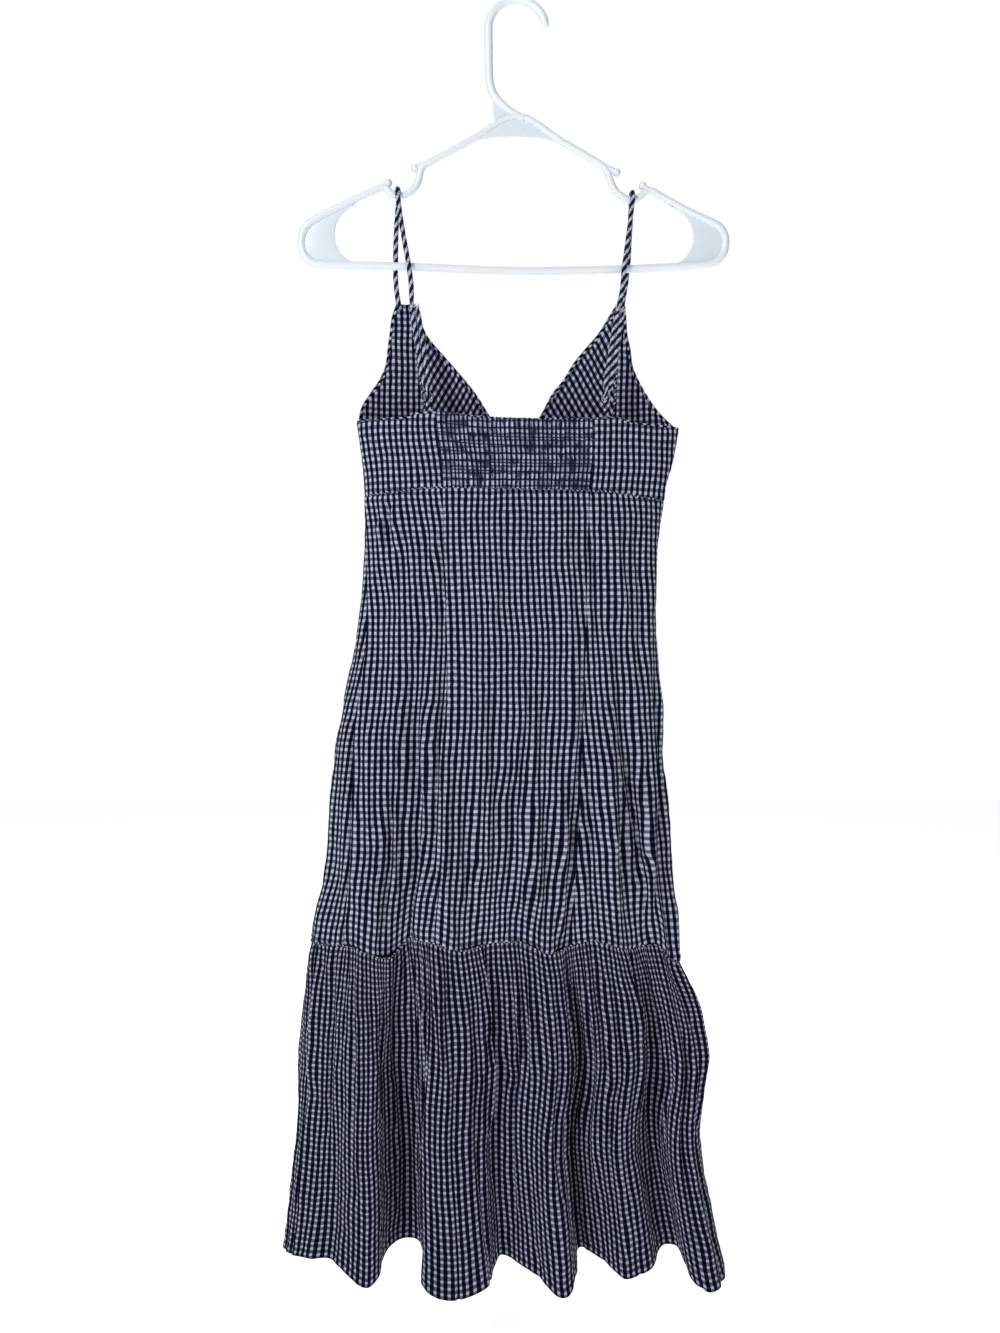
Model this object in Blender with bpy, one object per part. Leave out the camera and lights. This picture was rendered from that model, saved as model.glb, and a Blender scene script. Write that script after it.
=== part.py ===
"""A midi dress of checked cotton on a moulded plastic hanger, with its back to the front of the scene.

Metres, +Z up. The origin is the inner top of the hook, where a nail holds the hanger.
The dress's back faces -Y, and the wearer's left is at -X.

Round the dress, q counts from 0 at the left edge over the back to 1 at the right edge, and on over
the front to 2 at the left edge again. A share is how far across a point lies, 0 at the left edge and 1
at the right edge, on either side.
"""

import math

import bmesh
import bpy
import numpy as np
from mathutils import Matrix, Vector

WALL = 0.0012
GAP = 0.0003
LEVEL_GAP = 0.0004
ROUNDNESS = 2.5

RUFFLE_LENGTH = 0.32
PEAK = -0.2985
V_POINT = (-0.003, -0.442)
UNDERARM = -0.4195

SECTIONS = {
    "z": (-0.290, -0.350, -0.420, -0.455, -0.492, -0.560, -0.630, -0.690, -0.750, -0.850, -0.945, -1.050,
          -1.150, -1.270),
    "left": (-0.161, -0.161, -0.161, -0.156, -0.153, -0.154, -0.160, -0.172, -0.184, -0.193, -0.208, -0.208,
             -0.200, -0.190),
    "right": (0.160, 0.160, 0.160, 0.155, 0.146, 0.140, 0.139, 0.143, 0.148, 0.155, 0.162, 0.174,
              0.132, 0.120),
    "back": (0.018, 0.020, 0.022, 0.023, 0.024, 0.027, 0.030, 0.032, 0.034, 0.036, 0.037, 0.036,
             0.034, 0.030),
    "front": (0.007, 0.013, 0.019, 0.021, 0.022, 0.026, 0.032, 0.038, 0.043, 0.050, 0.056, 0.060,
              0.062, 0.062),
    "side": (0.0, 0.0, 0.0, 0.0, 0.0, 0.0, 0.001, 0.002, 0.003, 0.005, 0.007, 0.010,
             0.015, 0.020),
}

# Shares of the seams that run down the dress: the side seams, then the back's and the front's.
SEAMS = {
    "z": (-0.300, -0.415, -0.499, -0.560, -0.630, -0.720, -0.820, -0.945),
    "side_left": (0.0, 0.0, 0.0, 0.010, 0.032, 0.056, 0.076, 0.097),
    "back_left": (0.25, 0.25, 0.265, 0.276, 0.300, 0.331, 0.338, 0.342),
    "back_right": (0.733, 0.733, 0.749, 0.753, 0.757, 0.748, 0.725, 0.702),
    "side_right": (1.0, 1.0, 1.0, 0.992, 0.985, 0.975, 0.968, 0.960),
    "front_right": (0.815, 0.806, 0.829, 0.815, 0.790, 0.760, 0.735, 0.715),
    "front_left": (0.170, 0.208, 0.225, 0.240, 0.260, 0.280, 0.290, 0.300),
}

# Heights of the seams and edges that run round it, by q.
BUST_SEAM = {
    "q": (0.0, 0.20, 0.36, 0.52, 0.68, 0.82, 1.0, 1.25, 1.50, 1.75, 2.0),
    "z": (-0.4930, -0.4915, -0.4867, -0.4885, -0.4908, -0.4960, -0.4990, -0.4960, -0.4925, -0.4930,
          -0.4930),
}
BACK_TOP = {
    "q": (0.0, 0.15, 0.29, 0.318, 0.36, 0.45, 0.53, 0.63, 0.67, 0.74, 1.0),
    "z": (-0.4190, -0.4187, -0.4178, -0.4135, -0.4128, -0.4180, -0.4200, -0.4190, -0.4178, -0.4235, -0.4260),
}
RUFFLE_SEAM = {
    "q": (0.0, 0.24, 0.325, 0.39, 0.455, 0.52, 0.58, 0.64, 0.71, 0.80, 1.0, 1.2, 1.5, 1.8, 2.0),
    "z": (-0.938, -0.939, -0.941, -0.9375, -0.9395, -0.937, -0.9395, -0.937, -0.939, -0.9395, -0.948,
          -0.944, -0.939, -0.940, -0.938),
}

# Edges of the front bodice, as they rise.
ARMHOLE = {
    "z": (-0.426, -0.405, -0.3885, -0.373, -0.358, -0.3425, -0.328, -0.3135, -0.297),
    "left": (-0.161, -0.1580, -0.1490, -0.1390, -0.1330, -0.1310, -0.1290, -0.1270, -0.1216),
    "right": (0.160, 0.1410, 0.1300, 0.1215, 0.1155, 0.1134, 0.1101, 0.1090, 0.1075),
}
NECKLINE = {
    "z": (-0.442, -0.409, -0.387, -0.372, -0.357, -0.3426, -0.3274, -0.300),
    "left": (-0.0030, -0.0282, -0.0423, -0.0545, -0.0676, -0.0807, -0.0928, -0.1036),
    "right": (-0.0030, 0.0226, 0.0347, 0.0469, 0.0560, 0.0680, 0.0810, 0.0985),
}
PRINCESS_TOP = {
    "z": (-0.442, -0.407, -0.350, -0.3015),
    "left": (-0.0905, -0.0941, -0.1020, -0.1086),
    "right": (0.0960, 0.0977, 0.1015, 0.1032),
}

# Long folds of the skirt: on which side, share at the bust and at the ruffle, how far out it stands there,
# half its width as a share, and the height where it starts.
FOLDS = (
    ("back", 0.210, 0.262, -0.0130, 0.055, -0.470),
    ("back", 0.490, 0.490, -0.0060, 0.060, -0.640),
    ("back", 0.560, 0.565, -0.0035, 0.035, -0.700),
    ("back", 0.690, 0.700, -0.0060, 0.045, -0.700),
    ("back", 0.840, 0.890, -0.0085, 0.055, -0.660),
    ("back", 0.130, 0.145, 0.0045, 0.060, -0.650),
    ("back", 0.350, 0.350, 0.0050, 0.070, -0.600),
    ("back", 0.620, 0.630, 0.0045, 0.055, -0.680),
    ("back", 0.790, 0.800, 0.0045, 0.060, -0.680),
    ("front", 0.240, 0.270, -0.0080, 0.070, -0.560),
    ("front", 0.500, 0.480, -0.0070, 0.080, -0.600),
    ("front", 0.720, 0.740, -0.0080, 0.070, -0.620),
    ("front", 0.380, 0.370, 0.0050, 0.070, -0.640),
    ("front", 0.620, 0.610, 0.0050, 0.070, -0.640),
)

# The ruffle's large waves, round from the left edge: the q where each line leaves the gathered seam, and
# where it reaches the hem, which hangs a little lower on the waves that come forward.
WAVES = {
    "q": (0.0, 0.19, 0.235, 0.276, 0.315, 0.335, 0.362, 0.384, 0.400, 0.426, 0.479, 0.496, 0.522, 0.556, 0.586,
          0.602, 0.628, 0.665, 0.710, 0.740, 0.765, 0.780, 0.800, 0.840, 0.900, 0.960, 1.03, 1.09,
          1.20, 1.28, 1.36, 1.43, 1.48, 1.53, 1.59, 1.66, 1.73, 1.84),
    "x": (-0.2395, -0.2085, -0.1825, -0.153, -0.138, -0.130, -0.1165, -0.0995, -0.0935, -0.0705, -0.031, -0.018,
          0.0115, 0.0375, 0.054, 0.0605, 0.083, 0.104, 0.1305, 0.1445, 0.159, 0.164, 0.1695, 0.1825, 0.197,
          0.203, 0.2035, 0.204, 0.188, 0.150, 0.106, 0.062, 0.026, -0.020, -0.068, -0.115, -0.155, -0.205),
    "y": (0.022, -0.006, -0.014, -0.031, -0.025, -0.004, 0.006, 0.001, -0.027, -0.038, -0.030, -0.010,
          -0.020, -0.036, -0.031, -0.006, -0.013, -0.025, -0.019, -0.004, -0.004, -0.014, -0.024, -0.033, -0.031,
          -0.014, 0.008, 0.036, 0.072, 0.092, 0.062, 0.095, 0.064, 0.094, 0.062, 0.098, 0.068, 0.088),
    "z": (-1.253, -1.251, -1.2505, -1.2665, -1.2605, -1.242, -1.238, -1.241, -1.2635, -1.275, -1.2665, -1.245,
          -1.256, -1.272, -1.268, -1.2415, -1.249, -1.261, -1.2545, -1.240, -1.2395, -1.2495, -1.2605, -1.2695,
          -1.2665, -1.261, -1.2535, -1.257, -1.255, -1.2525, -1.256, -1.252, -1.256, -1.252, -1.256, -1.2515,
          -1.2555, -1.253),
}
RUFFLE_SIDES = (0.55, 27.5)
RUFFLE_GATHERS = (36, 28)
RUFFLE_ROWS = (0.0, 0.03, 0.08, 0.16, 0.28, 0.44, 0.62, 0.81, 1.0)
FOLD_GROWTH = 0.85
SEAM_SHARE = 0.45
GATHER_DEPTH = 0.0018

SKIRT_ROWS = 9
BACK_ROWS = 9
SHIRR_GATHERS = 44
SHIRR_ROWS = 7
SHIRR_HEADER = 0.14
SHIRR_PUFF = 0.0011
SHIRR_PINCH = 0.0004

STRAP_RADIUS = 0.0025
STRAP_PINCHED = 0.0017
PINCH_REACH = 0.0045
RING_RADIUS = 0.0040
RING_WIRE = 0.00065
TAB_WIDTH = 0.0046
TAB_THICK = 0.0009
SLIDER_HEIGHT = 0.0034
SLIDER_WALL = 0.0009

HOOK_WIRE = 0.0040
HOOK_RADIUS = 0.0285
HOOK_CENTRE = (-0.001, -0.0245)
ARM_RADIUS = 0.0034
BAR_RADIUS = 0.0038
WEB_THICK = 0.0024

COTTON = (0.10, 0.10, 0.20)
PLASTIC = (0.86, 0.90, 0.94)
CLEAR = (0.80, 0.82, 0.84)


def clear_scene():
    for old in list(bpy.data.objects):
        bpy.data.objects.remove(old, do_unlink=True)


def material(name, colour, roughness):
    made = bpy.data.materials.new(name)
    made.use_nodes = True
    shader = made.node_tree.nodes["Principled BSDF"]
    shader.inputs["Base Color"].default_value = (*colour, 1.0)
    shader.inputs["Roughness"].default_value = roughness
    return made


def smooth(at, stations, values):
    """Values read between stations along a smooth curve; the stations may run up or down."""
    stations = np.asarray(stations, float)
    values = np.asarray(values, float)
    if stations[0] > stations[-1]:
        stations = stations[::-1]
        values = values[::-1]
    pitch = np.diff(values) / np.diff(stations)
    level = pitch[:-1] * pitch[1:] <= 0
    both = np.where(level, 1.0, pitch[:-1] + pitch[1:])
    inner = np.where(level, 0.0, 2 * pitch[:-1] * pitch[1:] / both)
    slopes = np.concatenate([pitch[:1], inner, pitch[-1:]])
    at = np.clip(at, stations[0], stations[-1])
    low = np.clip(np.searchsorted(stations, at) - 1, 0, len(stations) - 2)
    step = stations[low + 1] - stations[low]
    t = (at - stations[low]) / step
    rise = values[low + 1] - values[low]
    bend = slopes[low] * step - rise
    unbend = rise - slopes[low + 1] * step
    return values[low] + rise * t + t * (1 - t) * (bend * (1 - t) + unbend * t)


def section(column, z):
    return smooth(z, SECTIONS["z"], SECTIONS[column])


def q_of_share(share, front=False):
    """The q where a share lies, on the back or on the front."""
    side = 1 - 2 * np.asarray(share, float)
    turn = np.sign(side) * np.abs(side) ** (ROUNDNESS / 2)
    q = np.arccos(np.clip(turn, -1, 1)) / math.pi
    return 2 - q if front else q


def share_of_q(q):
    turn = np.cos(np.asarray(q, float) * math.pi)
    return (1 - np.sign(turn) * np.abs(turn) ** (2 / ROUNDNESS)) / 2


def q_of_x(x, z, front):
    left = section("left", z)
    right = section("right", z)
    return q_of_share(np.clip((x - left) / (right - left), 0, 1), front)


def bump(distance):
    return np.where(np.abs(distance) < 1, np.cos(distance * math.pi / 2) ** 2, 0)


def fold_height(q, z):
    """How far the long folds push the cloth out at a place."""
    share = share_of_q(q)
    back = np.mod(q, 2) < 1
    total = np.zeros(np.broadcast(q, z).shape)
    for side, at_bust, at_ruffle, depth, reach, start in FOLDS:
        down = np.clip((-0.49 - z) / (0.945 - 0.49), 0, 1)
        grown = np.clip((start - z) / (start + 0.945), 0, 1) ** 1.3
        centre = at_bust + (at_ruffle - at_bust) * down
        here = depth * grown * bump((share - centre) / reach)
        total = total + np.where(back == (side == "back"), here, 0)
    return total


def plain_ring(q, z):
    """The section round the dress at a height, before its folds."""
    left = section("left", z)
    right = section("right", z)
    angle = q * math.pi
    across = -np.sign(np.cos(angle)) * np.abs(np.cos(angle)) ** (2 / ROUNDNESS)
    out = np.abs(np.sin(angle)) ** (2 / ROUNDNESS)
    depth = np.where(np.sin(angle) >= 0, -section("back", z), section("front", z))
    return (left + right) / 2 + (right - left) / 2 * across, section("side", z) + depth * out


def outward(x, y, next_x, next_y):
    """The plan direction that points out of the dress, from two points in the order of q."""
    along_x = next_x - x
    along_y = next_y - y
    length = np.hypot(along_x, along_y)
    return along_y / length, -along_x / length


def body(q, z):
    """The dress's outer face at a place: plan position, after its folds."""
    x, y = plain_ring(q, z)
    before = plain_ring(q - 0.004, z)
    after = plain_ring(q + 0.004, z)
    out_x, out_y = outward(*before, *after)
    height = fold_height(q, z)
    return x + out_x * height, y + out_y * height


def hem_wave(line, column):
    """The closed curve through the waves at the hem, at a fractional line."""
    values = np.asarray(WAVES[column])
    count = len(values)
    low = np.floor(line).astype(int)
    t = line - low
    p0, p1, p2, p3 = (values[(low + step) % count] for step in (-1, 0, 1, 2))
    return p1 + 0.5 * t * (p2 - p0 + t * (2 * p0 - 5 * p1 + 4 * p2 - p3 + t * (3 * (p1 - p2) + p3 - p0)))


def wave_q(line):
    """The q at the gathered seam of a fractional line, growing by 2 for each time round."""
    count = len(WAVES["q"])
    turns = np.floor(line / count)
    stations = np.arange(count + 1)
    return np.interp(line - turns * count, stations, (*WAVES["q"], 2.0)) + 2 * turns


def ruffle_seam_z(q):
    return smooth(np.mod(q, 2), RUFFLE_SEAM["q"], RUFFLE_SEAM["z"])


def bust_seam_z(q):
    return smooth(np.mod(q, 2), BUST_SEAM["q"], BUST_SEAM["z"])


def back_top_z(q):
    return smooth(q, BACK_TOP["q"], BACK_TOP["z"])


def ruffle_place(line, down):
    """The ruffle's outer face, without its fine gathers; down is 0 at the seam and 1 at the hem."""
    q = wave_q(line)
    top = ruffle_seam_z(q)
    z = top + (hem_wave(line, "z") - top) * down
    x, y = body(np.mod(q, 2), z)
    opened = down ** FOLD_GROWTH
    hem_x = hem_wave(line, "x")
    hem_y = hem_wave(line, "y")
    return np.stack([x + (hem_x - x) * opened, y + (hem_y - y) * opened, z + 0 * x], -1)


def skirt_place(q, down):
    """The skirt's outer face between the bust seam and the ruffle's seam."""
    z = bust_seam_z(q) + (ruffle_seam_z(q) - bust_seam_z(q)) * down
    x, y = body(q, z)
    return np.stack([x, y, z], -1)


def back_place(q, up):
    """The back bodice's outer face between the bust seam and its top edge."""
    z = bust_seam_z(q) + (back_top_z(q) - bust_seam_z(q)) * up
    x, y = plain_ring(q, z)
    return np.stack([x, y, z], -1)


def front_place(q, up):
    """The front bodice's outer face between the bust seam and the peaks."""
    z = bust_seam_z(q) + (PEAK - bust_seam_z(q)) * up
    x, y = plain_ring(q, z)
    return np.stack([x, y, z], -1)


def seam_q(seam, place, row):
    """The q of a seam on a row of a surface, found where the seam's share and the row's height agree."""
    front = seam.startswith("front") or seam == "side_right"
    q = np.full(np.shape(row), float(q_of_share(0.5, front)))
    for _ in range(6):
        z = place(q, row)[..., 2]
        q = q_of_share(smooth(z, SEAMS["z"], SEAMS[seam]), front)
    return q


def edge_q(table, column, place, row, start):
    """The q of an edge given by its distance across, on a row of a front surface."""
    q = np.full(np.shape(row), float(start))
    for _ in range(6):
        z = place(q, row)[..., 2]
        q = q_of_x(smooth(z, table["z"], table[column]), z, True)
    return q


def pulled_in(place, first, last, row):
    """Both ends of each row moved in by half a seam's gap."""
    step = 0.001
    moved = []
    for end, way in ((first, 1), (last, -1)):
        run = place(end + step, row) - place(end - step, row)
        moved.append(end + way * GAP / 2 * 2 * step / np.linalg.norm(run[..., :2], axis=-1))
    return moved


def faces_out(place, across, row, step=0.002):
    """Level directions out of a surface, the same for the pieces on either side of a seam."""
    before = place(across - step, row)
    after = place(across + step, row)
    out_x, out_y = outward(before[..., 0], before[..., 1], after[..., 0], after[..., 1])
    return np.stack([out_x, out_y, np.zeros_like(out_x)], -1)


def close_edge(bm, outer, inner):
    """Faces between a wall's two edges, which may have unlike numbers of points."""
    k = 0
    m = 0
    while k < len(outer) - 1 or m < len(inner) - 1:
        next_outer = (k + 1) / (len(outer) - 1)
        next_inner = (m + 1) / (len(inner) - 1)
        if next_outer <= next_inner:
            bm.faces.new((outer[k], outer[k + 1], inner[m]))
            k += 1
        else:
            bm.faces.new((outer[k], inner[m + 1], inner[m]))
            m += 1


def wall_object(name, outer, inner, paint):
    """A closed wall between two grids of points, where the inner one may be coarser."""
    mesh = bpy.data.meshes.new(name)
    bm = bmesh.new()
    grids = [[[bm.verts.new(point) for point in line] for line in grid] for grid in (outer, inner)]
    for grid in grids:
        for line, following in zip(grid, grid[1:]):
            for k in range(len(line) - 1):
                bm.faces.new((line[k], line[k + 1], following[k + 1], following[k]))
    front, rear = grids
    for end in (0, -1):
        close_edge(bm, front[end], rear[end])
        close_edge(bm, [line[end] for line in front], [line[end] for line in rear])
    bmesh.ops.recalc_face_normals(bm, faces=bm.faces[:])
    bm.to_mesh(mesh)
    bm.free()
    mesh.shade_smooth()
    mesh.set_sharp_from_angle(angle=math.radians(60))
    return placed(name, mesh, paint)


def placed(name, data, paint):
    made = bpy.data.objects.new(name, data)
    data.materials.append(paint)
    bpy.data.collections["midi_dress"].objects.link(made)
    return made


def panel(name, place, first, last, rows, columns, paint):
    """A cloth wall between two edges of a surface, each edge a q for every row."""
    row = np.asarray(rows)[:, None]
    first, last = pulled_in(place, first[:, None], last[:, None], row)
    share = np.linspace(0, 1, columns + 1)[None, :]
    across = first + (last - first) * share
    outer = place(across, row + 0 * across)
    inner = outer - WALL * faces_out(place, across, row + 0 * across)
    wall_object(name, outer, inner, paint)


def seam_rows(place, count, top_edge=False):
    """Even rows, kept half a gap from the seams that run round the dress."""
    span = np.ptp(place(np.array([0.5, 0.5]), np.array([0.0, 1.0]))[:, 2])
    trim = LEVEL_GAP / 2 / span
    return np.linspace(trim, 1 if top_edge else 1 - trim, count)


def make_skirt(paint):
    rows = seam_rows(skirt_place, SKIRT_ROWS)
    edges = {seam: seam_q(seam, skirt_place, rows) for seam in SEAMS if seam != "z"}
    panel("skirt_back_side_left", skirt_place, edges["side_left"], edges["back_left"], rows, 12, paint)
    panel("skirt_back", skirt_place, edges["back_left"], edges["back_right"], rows, 19, paint)
    panel("skirt_back_side_right", skirt_place, edges["back_right"], edges["side_right"], rows, 16, paint)
    panel("skirt_front_side_right", skirt_place, edges["side_right"], edges["front_right"], rows, 8, paint)
    panel("skirt_front", skirt_place, edges["front_right"], edges["front_left"], rows, 12, paint)
    panel("skirt_front_side_left", skirt_place, edges["front_left"], edges["side_left"] + 2, rows, 17, paint)


def make_back(paint):
    rows = seam_rows(back_place, BACK_ROWS, top_edge=True)
    edges = {seam: seam_q(seam, back_place, rows) for seam in SEAMS if seam != "z"}
    panel("back_side_left", back_place, edges["side_left"], edges["back_left"], rows, 10, paint)
    panel("back_side_right", back_place, edges["back_right"], edges["side_right"], rows, 10, paint)
    make_shirred(paint)


def make_shirred(paint):
    """Elastic rows pinch the cloth, and between them it puffs out in upright gathers."""
    trim = seam_rows(back_place, 2, top_edge=True)[0]
    first_row = 1 - SHIRR_HEADER
    pitch = (first_row - trim) / SHIRR_ROWS
    rows = [trim]
    puffs = [0.5]
    for k in range(SHIRR_ROWS):
        rows += [trim + pitch * (k + 0.5), trim + pitch * (k + 1)]
        puffs += [1.0, 0.0]
    rows += [1 - SHIRR_HEADER / 2, 1.0]
    puffs += [1.0, 0.6]
    share = np.linspace(0, 1, SHIRR_GATHERS * 2 + 1)[None, :]
    plain_rows = seam_rows(back_place, BACK_ROWS, top_edge=True)
    grids = []
    for grid_rows, share in ((plain_rows, share[:, ::8]), (np.array(rows), share)):
        row = grid_rows[:, None]
        first = seam_q("back_left", back_place, grid_rows)[:, None]
        last = seam_q("back_right", back_place, grid_rows)[:, None]
        first, last = pulled_in(back_place, first, last, row)
        across = first + (last - first) * share
        row = row + 0 * across
        grids.append((back_place(across, row), faces_out(back_place, across, row), row))
    plain, out, row = grids[1]
    ridge = np.where(np.arange(share.size) % 2, 1.0, 0.0)[None, :]
    uneven = 1 + 0.35 * np.sin(share * 41.0 + row * 23.0)
    height = ridge * uneven * (SHIRR_PINCH + SHIRR_PUFF * np.array(puffs)[:, None])
    outer = plain + height[..., None] * out
    inner = grids[0][0] - WALL * grids[0][1]
    wall_object("back_shirred", outer, inner, paint)


def front_rows(corner_z, below, above):
    """Rows of the front bodice, with one at the height of the neck's point."""
    trim = seam_rows(front_place, 2, top_edge=True)[0]
    span = PEAK - float(bust_seam_z(1.5))
    corner = 1 - (PEAK - corner_z) / span
    lower = np.linspace(trim, corner, below)
    return np.concatenate([lower, np.linspace(corner, 1, above)[1:]])


def make_front(paint):
    for hand, start in (("left", 1.9), ("right", 1.1)):
        rows = front_rows(V_POINT[1], 3, 8)
        low = place_height(rows) < V_POINT[1] + 1e-6
        princess = np.where(
            low,
            seam_q("front_" + hand, front_place, rows),
            edge_q(PRINCESS_TOP, hand, front_place, rows, start),
        )
        middle = np.full(rows.shape, V_POINT[0])
        centre = np.where(
            low, q_of_x(middle, place_height(rows), True), edge_q(NECKLINE, hand, front_place, rows, start)
        )
        ends = (centre, princess) if hand == "left" else (princess, centre)
        panel("cup_" + hand, front_place, *ends, rows, 7, paint)
        make_front_side(hand, start, rows, princess, paint)


def place_height(rows):
    return front_place(np.full(rows.shape, 1.5), rows)[..., 2]


def make_front_side(hand, start, rows, princess, paint):
    """From the princess seam to the side seam, and above the underarm to the armhole's edge."""
    seam = seam_q("side_" + hand, front_place, rows)
    side = seam + 2 if hand == "left" else seam
    armhole = edge_q(ARMHOLE, hand, front_place, rows, start)
    outer = np.where(place_height(rows) < UNDERARM, side, armhole)
    ends = (princess, outer) if hand == "left" else (outer, princess)
    panel("front_side_" + hand, front_place, *ends, rows, 8, paint)


def ruffle_columns(first, last, gathers):
    """Lines from the ruffle's seam to its hem, spread between even gathers above and even cloth below."""
    lines = np.linspace(first, last, 1200)
    lengths = []
    for down in (0.0, 1.0):
        points = ruffle_place(lines, np.full(lines.shape, down))
        run = np.concatenate([[0], np.cumsum(np.linalg.norm(np.diff(points, axis=0), axis=1))])
        lengths.append(run / run[-1])
    run = SEAM_SHARE * lengths[0] + (1 - SEAM_SHARE) * lengths[1]
    return np.interp(np.linspace(0, 1, gathers * 2 + 1), run, lines)


def make_ruffle(name, first, last, gathers, paint):
    """The gathered tier: a zigzag of small gathers under the seam, running out into the large waves."""
    trim = LEVEL_GAP / 2 / RUFFLE_LENGTH
    rows = np.array(RUFFLE_ROWS)
    rows[0] = trim
    row = rows[:, None]
    ends = [np.full(rows.shape, first), np.full(rows.shape, last)]
    first_lines, last_lines = pulled_in(ruffle_place, ends[0][:, None], ends[1][:, None], row)
    lines = ruffle_columns(first, last, gathers)[None, :]
    share = (lines - first) / (last - first)
    across = first_lines + (last_lines - first_lines) * share
    out = faces_out(ruffle_place, across, row + 0 * across, step=0.02)
    plain = ruffle_place(across, row + 0 * across)
    ridge = np.where(np.arange(lines.size) % 2, 1.0, -1.0)[None, :]
    ridge[:, [0, -1]] = 0
    puff = (0.6 + 3.0 * row) * np.exp(-((row / 0.22) ** 2))
    outer = plain + (GATHER_DEPTH * ridge * puff)[..., None] * out
    wall_object(name, outer, outer - WALL * out, paint)


def route(points, radii, name, radius, paint, closed=False):
    """A round tube through points, with a share of its radius at each."""
    curve = bpy.data.curves.new(name, "CURVE")
    curve.dimensions = "3D"
    curve.bevel_depth = radius
    curve.bevel_resolution = 2
    curve.use_fill_caps = not closed
    spline = curve.splines.new("POLY")
    spline.points.add(len(points) - 1)
    for point, place, share in zip(spline.points, points, radii):
        point.co = (*place, 1.0)
        point.radius = share
    spline.use_cyclic_u = closed
    spline.use_smooth = True
    return placed(name, curve, paint)


def top_edge_middle(x):
    """The middle of the back's top edge at a distance across."""
    q = 0.35 if x < 0 else 0.65
    for _ in range(6):
        z = float(back_top_z(q))
        q = float(q_of_x(x, z, False))
    outer = back_place(np.array(q), np.array(1.0))
    inner = outer - WALL * faces_out(back_place, np.array(q), np.array(1.0))
    return (outer + inner) / 2


def make_strap(hand, peak, front, notch, rear, slider, ring_x, ring_z, paint, clear):
    """From the cup's peak over the hanger, down through slider and ring, and back up to the slider."""
    seat = top_edge_middle(ring_x)
    ring = Vector((ring_x, seat[1], ring_z))
    over = ARM_RADIUS + STRAP_RADIUS + 3 * GAP
    loop = [
        (notch[0], over * math.cos(turn), notch[1] + over * math.sin(turn))
        for turn in np.linspace(0, math.pi, 7)
    ]
    top = Vector(slider)
    down = (ring - top).normalized()
    side = Vector((down.z, 0, -down.x)).normalized()
    turn_radius = RING_WIRE + STRAP_PINCHED + 1.3 * GAP
    bar = ring + Vector((0, 0, RING_RADIUS))
    bend = [
        bar + Vector((0, turn_radius * -math.cos(turn), turn_radius * -math.sin(turn)))
        for turn in np.linspace(0, math.pi, 7)
    ]
    pinch = STRAP_PINCHED + GAP / 2 + 0.00005
    apart = STRAP_RADIUS + GAP / 2 + 0.00005
    length = (bar - top).length
    going = [top + side * (pinch if k == 0 else apart) + down * k for k in (0, 0.012, length * 0.55, length - 0.016)]
    coming = [top - side * (pinch if k == 0 else apart) + down * k for k in (length - 0.016, length * 0.55, 0.012, 0)]
    lead = top + side * pinch - down * 0.008
    path = [peak, *front, *loop, *rear, tuple(lead), *map(tuple, going), *map(tuple, bend), *map(tuple, coming)]
    squeezed = STRAP_PINCHED / STRAP_RADIUS
    tight = [min((Vector(p) - top).length, (Vector(p) - bar).length) < PINCH_REACH for p in path]
    radii = [squeezed if pinched else 1.0 for pinched in tight]
    route(path, radii, "strap_" + hand, STRAP_RADIUS, paint)
    make_ring(hand, ring, clear)
    make_tab(hand, ring, seat, paint)
    make_slider(hand, top, down, side, pinch, clear)


def make_ring(hand, centre, paint):
    bpy.ops.mesh.primitive_torus_add(
        major_segments=16,
        minor_segments=6,
        major_radius=RING_RADIUS,
        minor_radius=RING_WIRE,
        location=centre,
        rotation=(math.pi / 2, 0, 0),
    )
    ring = bpy.context.object
    ring.name = "ring_" + hand
    ring.data.name = "ring_" + hand
    ring.data.materials.append(paint)
    ring.data.shade_smooth()
    for other in list(ring.users_collection):
        other.objects.unlink(ring)
    bpy.data.collections["midi_dress"].objects.link(ring)


def flat_outline(curve, points):
    spline = curve.splines.new("POLY")
    spline.points.add(len(points) - 1)
    for point, place in zip(spline.points, points):
        point.co = (place[0], place[1], 0, 1)
    spline.use_cyclic_u = True


def flat_curve(name, thickness):
    curve = bpy.data.curves.new(name, "CURVE")
    curve.dimensions = "2D"
    curve.fill_mode = "BOTH"
    curve.extrude = thickness / 2
    return curve


def arc(centre, radius, start, end, count):
    turns = [start + (end - start) * k / count for k in range(count + 1)]
    return [(centre[0] + radius * math.cos(t), centre[1] + radius * math.sin(t)) for t in turns]


def make_tab(hand, ring, seat, paint):
    """A folded loop round the ring's lower side, whose doubled end stands on the back's top edge."""
    bottom = ring.z - RING_RADIUS
    length = bottom - seat[2] - GAP
    hole = RING_WIRE + GAP
    rise = 0.0006
    outer = hole + TAB_THICK
    half = TAB_THICK + 0.0001
    curve = flat_curve("tab_" + hand, TAB_WIDTH)
    crown = arc((0, rise), outer, -0.2 * math.pi, 1.2 * math.pi, 12)
    flat_outline(curve, [*crown, (-half, -outer * 1.6), (-half, -length), (half, -length), (half, -outer * 1.6)])
    lower = arc((0, 0), hole, math.pi, 2 * math.pi, 6)
    upper = arc((0, rise), hole, 0, math.pi, 6)
    flat_outline(curve, lower + upper)
    tab = placed("tab_" + hand, curve, paint)
    tab.location = (ring.x, ring.y, bottom)
    tab.rotation_euler = (math.pi / 2, 0, math.pi / 2)


def rounded_box(width, depth, radius):
    corners = ((1, 1, 0), (-1, 1, 0.5), (-1, -1, 1.0), (1, -1, 1.5))
    points = []
    for right, rear, turn in corners:
        centre = (right * (width / 2 - radius), rear * (depth / 2 - radius))
        points += arc(centre, radius, turn * math.pi, (turn + 0.5) * math.pi, 3)
    return points


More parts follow.
